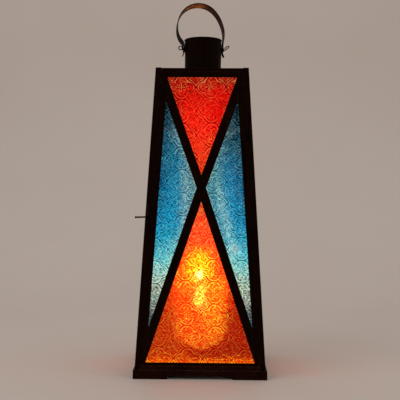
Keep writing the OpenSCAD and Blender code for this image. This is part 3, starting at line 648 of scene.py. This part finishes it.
def glow_blue(x, v, edge, seed, tone):
    # s: 0 beside the post, 1 beside the slanting bar
    xo = 68.85 - (v - 9.3) * 0.0671
    xi = np.where(v > 231.3, 0.3594 * (v - 231.3), 0.3378 * (231.3 - v)) + 6.0
    s = np.clip((xo - np.abs(x)) / np.clip(xo - xi, 7.0, 34.0), 0, 1)
    out = table(v, [(345, (8, 20, 30)), (322, (9, 34, 48)), (296, (10, 66, 88)), (233, (0, 78, 118)), (182, (4, 134, 178)), (140, (66, 182, 202)), (107, (158, 186, 170)), (75, (82, 86, 74)), (55, (36, 66, 72))])
    inn = table(v, [(345, (12, 28, 40)), (322, (34, 62, 76)), (296, (104, 146, 158)), (233, (88, 140, 150)), (182, (62, 150, 180)), (140, (104, 186, 194)), (107, (164, 184, 164)), (75, (82, 86, 74)), (55, (36, 66, 72))])
    mid_c = table(v, [(345, (9, 24, 34)), (322, (12, 38, 52)), (296, (24, 84, 108)), (233, (8, 130, 176)), (182, (12, 144, 186)), (140, (80, 184, 200)), (107, (160, 184, 168)), (75, (82, 86, 74)), (55, (36, 66, 72))])
    w1 = np.clip(s * 2, 0, 1)[:, None]
    w2 = np.clip(s * 2 - 1, 0, 1)[:, None] ** 1.4
    c = out * (1 - w1) + mid_c * w1
    c = c * (1 - w2) + inn * w2
    n = vnoise(x, v, 9.0, seed) * 0.5 + vnoise(x, v, 2.4, seed + 1) * 0.5
    m = vnoise(x * 0.4, v, 5.0, seed + 4)
    c = c * (1 - (x > 0) * (0.42 * sstep(250, 300, v) + 0.24 * np.exp(-((v - 298.0) / 20.0) ** 2)))[:, None]
    c = over(c, srgb(140, 166, 180), np.clip((n - 0.55) * 3.6, 0, 1) * (0.22 + 0.16 * (x > 0) * sstep(180, 225, v)) * sstep(330, 290, v))
    c = over(c, srgb(4, 96, 150), np.clip((0.42 - n) * 3.6, 0, 1) * 0.4 * sstep(330, 270, v) * sstep(130, 170, v))
    # painted highlight: a pale cream strip along the edges beside the slanting bar, below the top
    inner = (0.45 * sstep(6, 1.0, edge) + 0.75 * sstep(3.0, 0.8, edge)) * sstep(320, 280, v) * sstep(0.35, 0.8, s)
    c = over(c, srgb(190, 182, 146), np.clip(inner * (0.10 + 0.7 * m), 0, 0.8))
    # a pale slanting reflection crossing the right-hand pane, a faint upright one in the left-hand pane
    band = 1.6 * np.exp(-(((x - 31.5) + (v - 195.0) * 0.27) / 3.6) ** 2) * sstep(140, 160, v) * sstep(238, 218, v) * (x > 0)
    band = band + np.exp(-((x + 22.0) / 2.2) ** 2) * sstep(175, 195, v) * sstep(262, 245, v) * (x < 0) * 0.8
    c = over(c, srgb(176, 198, 202), np.clip(band, 0, 1) * np.clip(2.6 * vnoise((x + (v - 195.0) * 0.27) * 2.4, v * 0.35, 3.0, seed + 19) - 0.55, 0.05, 1))
    # painted glints: small bright flecks over the pane; the same noise also puts dark blue dots
    fleck = vnoise(x * 0.8, v * 1.3, 1.5, seed + 15)
    c = over(c, srgb(206, 216, 204), np.clip((fleck - 0.70) * 6, 0, 1) * sstep(335, 300, v) * (0.16 + 0.34 * s))
    c = over(c, srgb(0, 44, 84), np.clip((0.26 - fleck) * 6, 0, 1) * 0.55 * sstep(345, 320, v))
    # painted glints: orange-cream sparkles close to the edge beside the slanting bar, at mid height
    c = over(c, srgb(216, 150, 110), np.clip((vnoise(x, v, 1.4, seed + 17) - 0.62) * 6, 0, 1) * sstep(9, 2.5, edge) * sstep(0.4, 0.8, s) * sstep(290, 262, v) * sstep(150, 175, v) * 0.8)
    pale = np.clip((vnoise(x * 1.6, v * 0.7, 3.4, seed + 7) - 0.45) * 3, 0, 1) * sstep(170, 110, v) * sstep(60, 80, v)
    c = over(c, srgb(212, 226, 214), pale * 0.60)
    rust = np.clip((vnoise(x, v, 2.2, seed + 9) - 0.66) * 6, 0, 1) * sstep(125, 105, v) * sstep(60, 80, v)
    c = over(c, srgb(104, 40, 30), rust * 0.75)
    c[:, 0] *= 1 - 0.30 * sstep(150, 175, v) * sstep(315, 285, v) * (1 - 0.8 * (x < 0) * sstep(0.55, 0.9, s))
    c[:, 0] *= 1 - 0.45 * (x < 0) * sstep(150, 175, v) * sstep(300, 270, v) * sstep(0.95, 0.6, s)
    return c, np.full(x.shape, 0.80)


LATTICE = {   # junction origin, step across, step down (millimetres on the face)
    "red": ((-7.4, 362.1), (38.4, 0.8), (0.4, -31.2)),
    "orange": ((0.6, 69.8), (36.9, -0.8), (1.35, -28.2)),
    "blue_l": ((-43.0, 211.0), (37.2, -0.9), (0.6, -29.4)),
    "blue_r": ((33.4, 182.0), (37.0, 0.9), (0.4, -28.9)),
}
GLOW = {"red": glow_red, "orange": glow_orange, "blue_l": glow_blue, "blue_r": glow_blue}


def pane(node, kind, face, body, name, mats, seed):
    """Pressed pane: flat back, ridged front, cut to the CAD pane's own outline."""
    M4 = face_matrix(face)
    inv = np.array(M4.inverted())
    w = verts_of(node)
    loc = (w @ inv[:3, :3].T + inv[:3, 3]) / MM
    n_f, n_b = loc[:, 2].max(), loc[:, 2].min()
    hull = hull2d(loc[:, :2])
    step = 0.55 if face == 0 else 0.80
    vmin, vmax = min(p[1] for p in hull), max(p[1] for p in hull)
    rows = max(2, int(round((vmax - vmin) / step)))
    E = list(zip(hull, hull[1:] + hull[:1]))
    xs_rows, vs_rows = [], []
    for r in range(rows + 1):
        v = vmin + (vmax - vmin) * r / rows
        vq = min(max(v, vmin + 1e-3), vmax - 1e-3)
        hits = []
        for (p, q) in E:
            if (p[1] - vq) * (q[1] - vq) <= 0 and abs(p[1] - q[1]) > 1e-9:
                t = (vq - p[1]) / (q[1] - p[1])
                hits.append(p[0] + (q[0] - p[0]) * t)
        xl, xr = min(hits), max(hits)
        if xr - xl < 0.02:
            xr = xl + 0.02
        k0, k1 = math.ceil((xl + 0.25 * step) / step), math.floor((xr - 0.25 * step) / step)
        xs = [xl] + [k * step for k in range(k0, k1 + 1)] + [xr]
        xs_rows.append(xs)
        vs_rows.append(v)
    start, tot = [], 0
    for xs in xs_rows:
        start.append(tot)
        tot += len(xs)
    X = np.concatenate([np.asarray(xs) for xs in xs_rows])
    V = np.concatenate([np.full(len(xs), v) for xs, v in zip(xs_rows, vs_rows)])
    o, a, b = LATTICE[kind]
    # a slow wander so that no two repeats are exactly alike
    jx = (vnoise(X, V, 23.0, seed + 11) - 0.5) * 0.9
    jv = (vnoise(X, V, 19.0, seed + 12) - 0.5) * 0.9
    h, tone = cell_sample(X + jx, V + jv, o, a, b)
    # painted relief shading, as if light came up from the flame: slopes that face it are bright, slopes turned away are
    # deep
    up = cell_sample(X + jx, V + jv + 0.45, o, a, b)[0] - cell_sample(X + jx, V + jv - 0.45, o, a, b)[0]
    ac = cell_sample(X + jx + 0.45, V + jv, o, a, b)[0] - cell_sample(X + jx - 0.45, V + jv, o, a, b)[0]
    lx, lv = -X, 124.0 - V
    ln = np.hypot(lx, lv) + 12.0
    shade = -(ac * lx + up * lv) / ln
    edge = np.full(X.shape, 1e9)
    for (p, q) in E:
        L = math.hypot(q[0] - p[0], q[1] - p[1])
        edge = np.minimum(edge, np.abs((q[0] - p[0]) * (V - p[1]) - (q[1] - p[1]) * (X - p[0])) / max(L, 1e-6))
    fade = np.clip((edge - 0.6) / 1.2, 0, 1)
    wob = (vnoise(X, V, 6.0, seed + 5) - 0.5) * 0.10 + (vnoise(X, V, 1.7, seed + 6) - 0.5) * 0.05
    N = n_f - 0.18 + (0.52 * h + wob) * fade
    faces = []
    for r in range(rows):
        A, B = xs_rows[r], xs_rows[r + 1]
        ia, ib = start[r], start[r + 1]
        i = j = 0
        la, lb = len(A) - 1, len(B) - 1
        while i < la or j < lb:
            if j == lb or (i < la and A[i + 1] <= B[j + 1]):
                faces.append((ia + i, ia + i + 1, ib + j))
                i += 1
            else:
                faces.append((ia + i, ib + j + 1, ib + j))
                j += 1
    nfront = len(faces)
    loop = list(range(start[0], start[0] + len(xs_rows[0])))
    loop += [start[r] + len(xs_rows[r]) - 1 for r in range(1, rows + 1)]
    loop += list(range(start[rows] + len(xs_rows[rows]) - 2, start[rows] - 1, -1))
    loop += [start[r] for r in range(rows - 1, 0, -1)]
    nb = len(loop)
    XB, VB = X[loop], V[loop]
    bi = list(range(tot, tot + nb))
    for k in range(nb):
        k2 = (k + 1) % nb
        faces.append((loop[k2], loop[k], bi[k], bi[k2]))
    faces.append(tuple(bi[::-1]))
    P = np.concatenate([np.stack([X, V, N], 1), np.stack([XB, VB, np.full(nb, n_b)], 1)]) * MM
    m = np.array(M4)
    W = P @ m[:3, :3].T + m[:3, 3]
    me = bpy.data.meshes.new(name)
    me.from_pydata(W.tolist(), [], faces)
    sm = np.zeros(len(faces), bool)
    sm[:nfront] = True
    me.polygons.foreach_set("use_smooth", sm)
    mi = np.ones(len(faces), np.int32)
    mi[:nfront] = 0
    me.polygons.foreach_set("material_index", mi)
    # the painted glow map is pushed along the relief's slopes, standing in for refraction
    bx = np.clip(ac, -0.8, 0.8) * 8.0 + (vnoise(X, V, 4.0, seed + 31) - 0.5) * 5.0
    bv = np.clip(up, -0.8, 0.8) * 8.0 + (vnoise(X, V, 4.0, seed + 32) - 0.5) * 5.0
    amt = np.clip(edge / 6.0, 0.15, 1)
    col, k = GLOW[kind](X + bx * amt, np.clip(V + bv * amt, V.min(), V.max()), edge, seed, tone)
    colb = np.concatenate([col, col[loop]])
    kb = np.concatenate([k, k[loop]])
    hb = np.concatenate([h, np.full(nb, 0.3)])
    # painted shade: pattern contrast raised near the pane's edges, for the relief shadowed beside the frame; the slow
    # noise is random tone
    rim = sstep(13, 3, edge)
    vary = np.clip(0.55 + 0.35 * rim + 1.3 * (vnoise(X, V, 13.0, seed + 21) - 0.25), 0.55, 1.35) if kind != "orange" else \
        np.clip(0.75 + 0.9 * (vnoise(X, V, 13.0, seed + 21) - 0.25), 0.75, 1.2)
    if kind == "red":   # two groups of deeper pressed drops
        vary = vary + 0.55 * np.exp(-(((X + 26) / 8.0) ** 2 + ((V - 326) / 17.0) ** 2)) + 0.55 * np.exp(-(((X - 14) / 8.0) ** 2 + ((V - 300) / 17.0) ** 2))
    speck = (vnoise(X, V, 1.25, seed + 23) - 0.5) * 1.1
    # the tone attribute adds this painted relief shading to the pattern's tone
    tb = np.concatenate([np.clip(tone * vary + 0.6 * shade + speck, -1, 1), np.zeros(nb)])
    # this colour attribute holds the pane's colour together with its painted glow, shadows and glints
    ca = me.attributes.new("tint_and_glow", "FLOAT_COLOR", "POINT")
    ca.data.foreach_set("color", np.concatenate([colb, np.ones((len(colb), 1))], 1).astype(np.float32).ravel())
    me.attributes.new("lit", "FLOAT", "POINT").data.foreach_set("value", kb.astype(np.float32))
    me.attributes.new("relief", "FLOAT", "POINT").data.foreach_set("value", hb.astype(np.float32))
    me.attributes.new("tone", "FLOAT", "POINT").data.foreach_set("value", tb.astype(np.float32))
    me.update()
    ob = bpy.data.objects.new(name, me)
    scene.collection.objects.link(ob)
    for mt in mats:
        me.materials.append(mt)
    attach(ob, body)
    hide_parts(node)
    return ob


def glass_material(name, hi_gain, lo_gain, crest, hi_mix, see=0.30):
    """Front of a coloured pressed pane, lit from within partly by the lamps and partly by painted glow (emission):
    tinted, slightly milky, glossy ridges.
    """
    M = Mat(name + "_front")
    co = M.coords()
    tint_and_glow = M.attr("tint_and_glow", "Color")
    lit = M.attr("lit")
    tone = M.attr("tone")
    grain = M.noise(co, 1500.0, 3.0, 0.6)
    seedy = M.noise(co, 380.0, 4.0, 0.6)
    t = M.math("ADD", M.math("MULTIPLY", tone, 1.25), M.rng(grain, 0.30, 0.70, -0.45, 0.45))
    hi = M.mix(hi_mix, M.mix(1.0, tint_and_glow, hi_gain + (1.0,), "MULTIPLY"), crest)
    lo = M.mix(1.0, tint_and_glow, lo_gain + (1.0,), "MULTIPLY")
    c = M.mix(M.rng(t, 0.0, -0.95, 0.0, 1.0), tint_and_glow, lo)
    c = M.mix(M.rng(t, 0.10, 1.0, 0.0, 1.0), c, hi)
    bmp = M.bump(grain, 0.35, 0.0001)
    # painted glow: the pane emits its colour, in the principled shader and in the added emission; it leaves the pane
    # outwards, and seen from inside the lantern it is much dimmer
    away = M.n("ShaderNodeNewGeometry").outputs["Backfacing"]
    es = M.math("MULTIPLY", lit, M.rng(away, 0.0, 1.0, 1.0, 0.08))
    pr = M.n("ShaderNodeBsdfPrincipled", inp={
        "Base Color": c, "Roughness": M.rng(seedy, 0.3, 0.7, 0.20, 0.34), "IOR": 1.18,
        "Transmission Weight": 0.9, "Normal": bmp, "Emission Color": c, "Emission Strength": es,
        "Specular IOR Level": 0.2, "Coat Weight": 0.07, "Coat Roughness": 0.12, "Coat IOR": 1.5,
        "Coat Normal": bmp})
    tr = M.n("ShaderNodeBsdfTranslucent", inp={"Color": c, "Normal": bmp})
    mx = M.n("ShaderNodeMixShader", inp={0: 1 - see, 1: pr.outputs[0], 2: tr.outputs[0]})
    em = M.n("ShaderNodeEmission", inp={"Color": c, "Strength": M.math("MULTIPLY", es, 1 - see)})
    ad = M.n("ShaderNodeAddShader", inp={0: mx.outputs[0], 1: em.outputs[0]})
    M.link(ad.outputs[0], M.out.inputs["Surface"])
    B = Mat(name + "_back")
    tint_and_glow = B.attr("tint_and_glow", "Color")
    tp = B.n("ShaderNodeBsdfTransparent", inp={"Color": B.mix(0.25, tint_and_glow, (1, 1, 1, 1))})
    gs = B.n("ShaderNodeBsdfGlossy", inp={"Color": (1, 1, 1, 1), "Roughness": B.rng(B.noise(B.coords(), 500.0), 0.3, 0.7, 0.05, 0.18)})
    fr = B.n("ShaderNodeFresnel", inp={"IOR": 1.4})
    mb = B.n("ShaderNodeMixShader", inp={0: fr.outputs[0], 1: tp.outputs[0], 2: gs.outputs[0]})
    B.link(mb.outputs[0], B.out.inputs["Surface"])
    return [M.m, B.m]


G_RED = glass_material("red_glass", (1.22, 3.6, 3.0), (0.34, 0.14, 0.16), srgb(255, 150, 90), 0.07)
G_ORG = glass_material("orange_glass", (1.15, 4.5, 3.6), (0.80, 0.08, 0.12), srgb(255, 220, 90), 0.075)
G_BLU = glass_material("blue_glass", (1.7, 1.75, 1.55), (0.20, 0.28, 0.36), srgb(104, 206, 224), 0.17)

_v = 0
for i, side in enumerate(("door", "right", "back", "left")):
    body = "door" if side == "door" else "body"
    bl = ("door_glass_blue_left", "door_glass_blue_right") if side == "door" else (side + "_glass_blue_a", side + "_glass_blue_b")
    pane(side + "_glass_red", "red", i, body, side + "_pane_red", G_RED, 100 + 10 * i)
    pane(side + "_glass_orange", "orange", i, body, side + "_pane_orange", G_ORG, 200 + 10 * i)
    pane(bl[0], "blue_l", i, body, side + "_pane_blue_left", G_BLU, 300 + 10 * i)
    pane(bl[1], "blue_r", i, body, side + "_pane_blue_right", G_BLU, 400 + 10 * i)


# ------------------------------------------------------------------ candle, wick, flame
def candle_piece():
    lo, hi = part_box("candle")
    c = (lo + hi) / 2
    R, z0, z1 = (hi.x - lo.x) / 2, lo.z, hi.z
    prof = [(R - 0.0018, z0), (R - 0.0006, z0 + 0.0006), (R - 0.0001, z0 + 0.0018)]
    for k in range(1, 30):
        prof.append((R, z0 + 0.0018 + (z1 - z0 - 0.0045) * k / 30))
    for k in range(0, 7):
        a = math.pi / 2 * k / 6
        prof.append((R - 0.0022 + 0.0022 * math.cos(a), z1 - 0.0022 + 0.0022 * math.sin(a)))
    for t in np.linspace(0.08, 1.0, 16):
        r = (R - 0.003) * (1 - t)
        prof.append((max(r, 0.0), z1 - 0.0034 * (1 - (r / (R - 0.003)) ** 3) - 0.0002))
    seg = 96
    verts, faces = [], []
    for j, (r, z) in enumerate(prof):
        for k in range(seg):
            a = 2 * math.pi * k / seg
            wob = 1 + 0.006 * math.sin(3 * a + 1.0 + z * 60) + 0.004 * math.sin(7 * a + z * 130)
            rr = min(r * wob, R * 1.004) if j < 38 else r
            up = 0.0
            if 32 <= j <= 44:
                up = -0.0011 * max(0, math.sin(a * 2 + 0.7)) - 0.0006 * max(0, math.sin(5 * a))
            # two old runs of wax down the side
            for (a0, wd, end, th) in ((0.9, 0.10, z1 - 0.045, 0.0012), (3.7, 0.13, z1 - 0.062, 0.0015), (5.1, 0.08, z1 - 0.028, 0.001)):
                d = (a - a0 + math.pi) % (2 * math.pi) - math.pi
                if z > end and j < 36:
                    g = math.exp(-(d / wd) ** 2)
                    bulb = 1 + 0.8 * math.exp(-((z - end) / 0.004) ** 2)
                    rr += th * g * bulb
            verts.append((c.x + rr * math.cos(a), c.y + rr * math.sin(a), z + up))
    for j in range(len(prof) - 1):
        for k in range(seg):
            faces.append((j * seg + k, j * seg + (k + 1) % seg, (j + 1) * seg + (k + 1) % seg, (j + 1) * seg + k))
    faces.append(tuple(range(seg))[::-1])
    ob = new_mesh("candle_wax", verts, faces)
    M = Mat("candle_wax_ivory")
    co = M.coords()
    z = M.n("ShaderNodeSeparateXYZ", inp={0: co}).outputs["Z"]
    t = M.rng(z, z0, z1)
    n1 = M.noise(co, 55.0, 4.0, 0.55)
    n2 = M.noise(co, 700.0, 3.0, 0.5)
    col = M.mix(t, srgb(212, 190, 148), srgb(240, 222, 178))
    col = M.mix(M.math("MULTIPLY", M.rng(n1, 0.45, 0.7), 0.35), col, srgb(250, 238, 206))
    # painted glow: the wax emits, orange low down to pale yellow-orange at the top and strongest near the top, for the
    # flame's light shining through it
    top_glow = M.math("POWER", t, 3.0)
    bs = M.n("ShaderNodeBsdfPrincipled", inp={
        "Base Color": col, "Roughness": M.rng(n1, 0.3, 0.7, 0.38, 0.6), "Subsurface Weight": 0.35,
        "Subsurface Radius": (0.012, 0.006, 0.0025), "Subsurface Scale": 1.0,
        "Emission Color": M.mix(top_glow, srgb(255, 120, 34), srgb(255, 190, 90)),
        "Emission Strength": M.rng(top_glow, 0.0, 1.0, 0.10, 0.9),
        "Normal": M.bump(n2, 0.15, 0.0001, M.bump(n1, 0.5, 0.0012))})
    M.link(bs.outputs[0], M.out.inputs["Surface"])
    ob.data.materials.append(M.m)
    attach(ob, "candle")
    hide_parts("candle")
    return ob


def wick_piece():
    lo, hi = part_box("candle_wick")
    c = (lo + hi) / 2
    r = (hi.x - lo.x) / 2
    pts = []
    for k in range(40):
        t = k / 39
        z = lo.z + (hi.z - lo.z - 0.0002) * t
        bend = max(0.0, t - 0.70) / 0.30
        pts.append((c.x + 0.0016 * bend ** 2, c.y - 0.0005 * bend ** 2, z))
    ob = tube("wick_braid", pts, r * 0.92, 16, taper=lambda t: (1 + 0.10 * math.sin(t * 130)) * (1 - 0.45 * max(0, t - 0.85) / 0.15))
    M = Mat("wick_charred_cotton")
    co = M.coords()
    z = M.n("ShaderNodeSeparateXYZ", inp={0: co}).outputs["Z"]
    wv = M.n("ShaderNodeTexWave", inp={"Vector": co, "Scale": 420.0, "Distortion": 2.0}).outputs["Fac"]
    t = M.rng(z, hi.z - 0.009, hi.z - 0.0015)
    col = M.mix(wv, srgb(22, 17, 14), srgb(48, 38, 30))
    bs = M.n("ShaderNodeBsdfPrincipled", inp={
        "Base Color": col, "Roughness": 0.9, "Emission Color": srgb(255, 90, 20),
        "Emission Strength": M.rng(M.rng(z, hi.z - 0.0016, hi.z), 0.0, 1.0, 0.0, 3.0),
        "Normal": M.bump(wv, 0.8, 0.0003)})
    M.link(bs.outputs[0], M.out.inputs["Surface"])
    ob.data.materials.append(M.m)
    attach(ob, "candle")
    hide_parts("candle_wick")
    return ob


def flame_stage():
    lo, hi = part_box("candle_wick")
    c = (lo + hi) / 2
    zb, ht = hi.z - 0.006, 0.026
    prof = []
    for k in range(25):
        t = k / 24
        prof.append((0.0052 * math.sin(math.pi * t ** 0.72) ** 0.85 * (1 - 0.25 * t) + 1e-5, zb + ht * t))
    seg = 24
    verts, faces = [], []
    for (r, z) in prof:
        for k in range(seg):
            a = 2 * math.pi * k / seg
            verts.append((c.x + r * math.cos(a), c.y + r * math.sin(a), z))
    for j in range(len(prof) - 1):
        for k in range(seg):
            faces.append((j * seg + k, j * seg + (k + 1) % seg, (j + 1) * seg + (k + 1) % seg, (j + 1) * seg + k))
    faces.append(tuple(range(seg))[::-1])
    faces.append(tuple((len(prof) - 1) * seg + k for k in range(seg)))
    ob = new_mesh("stage_flame", verts, faces)
    M = Mat("flame_glow")
    z = M.n("ShaderNodeSeparateXYZ", inp={0: M.coords()}).outputs["Z"]
    col = M.ramp(M.rng(z, zb, zb + ht), [(0.0, srgb(255, 120, 40)), (0.3, srgb(255, 200, 110)), (0.7, srgb(255, 226, 150)), (1.0, srgb(255, 170, 70))])
    em = M.n("ShaderNodeEmission", inp={"Color": col, "Strength": 6.0})
    M.link(em.outputs[0], M.out.inputs["Surface"])
    ob.data.materials.append(M.m)
    ob.visible_shadow = False
    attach(ob, "candle")
    return ob


candle_piece()
wick_piece()
flame_stage()


# ------------------------------------------------------------------ chimney pipe with rolled rim and lapped seam
def chimney_piece():
    lo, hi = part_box("chimney_tube")
    c = (lo + hi) / 2
    flo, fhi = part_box("chimney_flange")
    R = (hi.x - lo.x) / 2 - 0.00095                    # pipe outside, inside the rolled bead
    th = 0.001
    zt = hi.z
    rb = 0.00098
    prof = [(R - th, lo.z), (R - 0.0002, lo.z), (R, lo.z + 0.0002)]
    for k in range(1, 13):
        prof.append((R, lo.z + (zt - 2 * rb - 0.0016 - lo.z) * k / 12))
    zc, rc = zt - rb, R - 0.00005
    for k in range(0, 15):
        a = math.radians(-100 + 265 * k / 14)
        prof.append((rc + rb * math.cos(a), zc + rb * math.sin(a)))
    for k in range(1, 13):
        prof.append((R - th, zt - 2 * rb - 0.0006 - (zt - 2 * rb - 0.0016 - lo.z) * k / 12 * 0.999))
    seg = 144
    verts, faces = [], []
    n = len(prof)
    seam0, seam1 = math.radians(86), math.radians(100)
    for j, (r, z) in enumerate(prof):
        for k in range(seg):
            a = 2 * math.pi * k / seg
            rr = r
            if 2 <= j <= 15:
                s = min(max((a - seam0) / 0.015, 0), 1) * min(max((seam1 - a) / 0.06, 0), 1)
                rr += 0.0007 * s
                rr += 0.00012 * math.sin(4 * a + z * 90) + 0.0001 * math.sin(9 * a + z * 210)
            verts.append((c.x + rr * math.cos(a), c.y + rr * math.sin(a), z))
    for j in range(n):
        j2 = (j + 1) % n
        for k in range(seg):
            faces.append((j * seg + k, j * seg + (k + 1) % seg, j2 * seg + (k + 1) % seg, j2 * seg + k))
    ob = new_mesh("chimney_pipe", verts, faces)
    ob.data.materials.append(MAT_SHEET)
    gm = ob.modifiers.new("soft", "NODES")
    gm.node_group = SOFT
    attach(ob, "body")
    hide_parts("chimney_tube")
    return ob


chimney_piece()
hlo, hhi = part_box("handle_strap")
_hv = verts_of("handle_strap")
_hc = _hv.mean(0)
_hn = np.linalg.svd(_hv - _hc, full_matrices=False)[2][2]
_hw = (_hv - _hc) @ _hn
_hacross = (tuple(float(q) for q in _hn), float(_hc @ _hn + (_hw.max() + _hw.min()) / 2), float(_hw.max() - _hw.min()) / 2)
# the strap's paint carries a painted glow patch at the top of the bow, for the chimney's light on its underside
MAT_STRAP = black_paint("strap_paint", srgb(7, 1, 1), srgb(22, 7, 3), 0.3, rough=(0.38, 0.58), dust=0.03,
                        glow_patch_z=(hhi.z - 0.021, hhi.z - 0.009), across=_hacross, spec=0.03)
dress("handle_strap", MAT_STRAP, 0.0003, 3)
dress("handle_split_pin_left", MAT_WIRE, 0.0)
dress("handle_split_pin_right", MAT_WIRE, 0.0)

dress("latch_wire", MAT_WIRE, 0.0)


# ------------------------------------------------------------------ stage: floor, lights, camera
def floor():
    prof = []
    for k in range(12):
        prof.append((-9.4 + 10.0 * k / 11, 0.0))
    for k in range(1, 17):
        a = math.pi / 2 * k / 16
        prof.append((0.6 + 0.7 * math.sin(a), 0.7 - 0.7 * math.cos(a)))
    prof.append((1.3, 3.0))
    verts, faces = [], []
    for (y, z) in prof:
        verts += [(-12.0, y, z), (12.0, y, z)]
    for j in range(len(prof) - 1):
        faces.append((2 * j, 2 * j + 1, 2 * j + 3, 2 * j + 2))
    ob = new_mesh("stage_floor", verts, faces)
    M = Mat("stage_pale_floor")
    co = M.coords()
    n1 = M.noise(co, 3.0, 3.0, 0.5)
    col = M.mix(n1, srgb(224, 214, 206), srgb(232, 224, 217))
    bs = M.n("ShaderNodeBsdfPrincipled", inp={"Base Color": col, "Roughness": 0.62, "Specular IOR Level": 0.3})
    M.link(bs.outputs[0], M.out.inputs["Surface"])
    ob.data.materials.append(M.m)


floor()


def area(name, loc, target, size, power, col):
    L = bpy.data.lights.new(name, "AREA")
    L.shape, L.size, L.energy, L.color = "SQUARE", size, power, col
    ob = bpy.data.objects.new(name, L)
    ob.location = loc
    ob.rotation_euler = (Vector(target) - Vector(loc)).to_track_quat("-Z", "Y").to_euler()
    scene.collection.objects.link(ob)
    return ob


mid = (Vector(CAD_LO) + Vector(CAD_HI)) / 2
area("key", (-1.1, -1.0, 1.35), mid, 1.2, 5.0, (1.0, 0.96, 0.92))
area("fill", (1.4, -0.8, 0.9), mid, 1.4, 2.5, (1.0, 0.93, 0.90))
area("top", (0.0, 0.4, 1.9), (0, 0.3, 0), 1.8, 5.0, (1.0, 0.95, 0.92))


def point(name, loc, power, col, rad, body=None):
    L = bpy.data.lights.new(name, "POINT")
    L.energy, L.color, L.shadow_soft_size = power, col, rad
    ob = bpy.data.objects.new(name, L)
    ob.location = loc
    scene.collection.objects.link(ob)
    ob.visible_camera = ob.visible_transmission = ob.visible_glossy = False
    if body:
        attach(ob, body)
    return ob


wlo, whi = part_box("candle_wick")
wc = (wlo + whi) / 2
point("flame_light", (wc.x, wc.y, whi.z + 0.010), 0.20, (1.0, 0.72, 0.42), 0.006)
point("inner_fill", (wc.x, wc.y, Z0 + 0.66 * (Z1 - Z0)), 0.10, (0.95, 0.95, 1.0), 0.02)
vlo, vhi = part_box("chimney_vent_disc")
point("warm_air", ((vlo.x + vhi.x) / 2, (vlo.y + vhi.y) / 2, vhi.z + 0.003), 0.10, (1.0, 0.50, 0.20), 0.004)
SL = bpy.data.lights.new("warm_beam", "SPOT")
SL.energy, SL.color, SL.shadow_soft_size, SL.spot_size, SL.spot_blend = 0.105, (1.0, 0.66, 0.36), 0.006, math.radians(46), 0.9
so = bpy.data.objects.new("warm_beam", SL)
so.location = ((vlo.x + vhi.x) / 2, (vlo.y + vhi.y) / 2, vhi.z + 0.004)
_ht = _hv[_hv[:, 2] > hhi.z - 0.003].mean(0)
so.rotation_euler = (Vector((_ht[0] - 0.010, _ht[1], _ht[2])) - Vector(so.location)).to_track_quat("-Z", "Y").to_euler()
scene.collection.objects.link(so)
so.visible_camera = so.visible_transmission = so.visible_glossy = False

w = bpy.data.worlds.new("soft_room")
scene.world = w
w.use_nodes = True
bg = w.node_tree.nodes["Background"]
bg.inputs["Color"].default_value = (0.80, 0.74, 0.70, 1)
bg.inputs["Strength"].default_value = 0.42

cam = bpy.data.cameras.new("camera")
cam.lens, cam.sensor_width, cam.sensor_fit = 71.46, 36.0, "HORIZONTAL"
cam.clip_start, cam.clip_end = 0.01, 20.0
co = bpy.data.objects.new("camera", cam)
scene.collection.objects.link(co)
d = Vector((-0.0179, 0.99984, 0.0)).normalized()
rt = d.cross(Vector((0, 0, 1))).normalized()
up = rt.cross(d)
R = Matrix((rt, up, -d)).transposed().to_4x4()
co.matrix_world = Matrix.Translation((0.01663, -1.08662, 0.22684)) @ R @ Matrix.Rotation(0.0067, 4, "Z")
scene.camera = co
scene.view_settings.view_transform = "Standard"
scene.view_settings.look = "None"
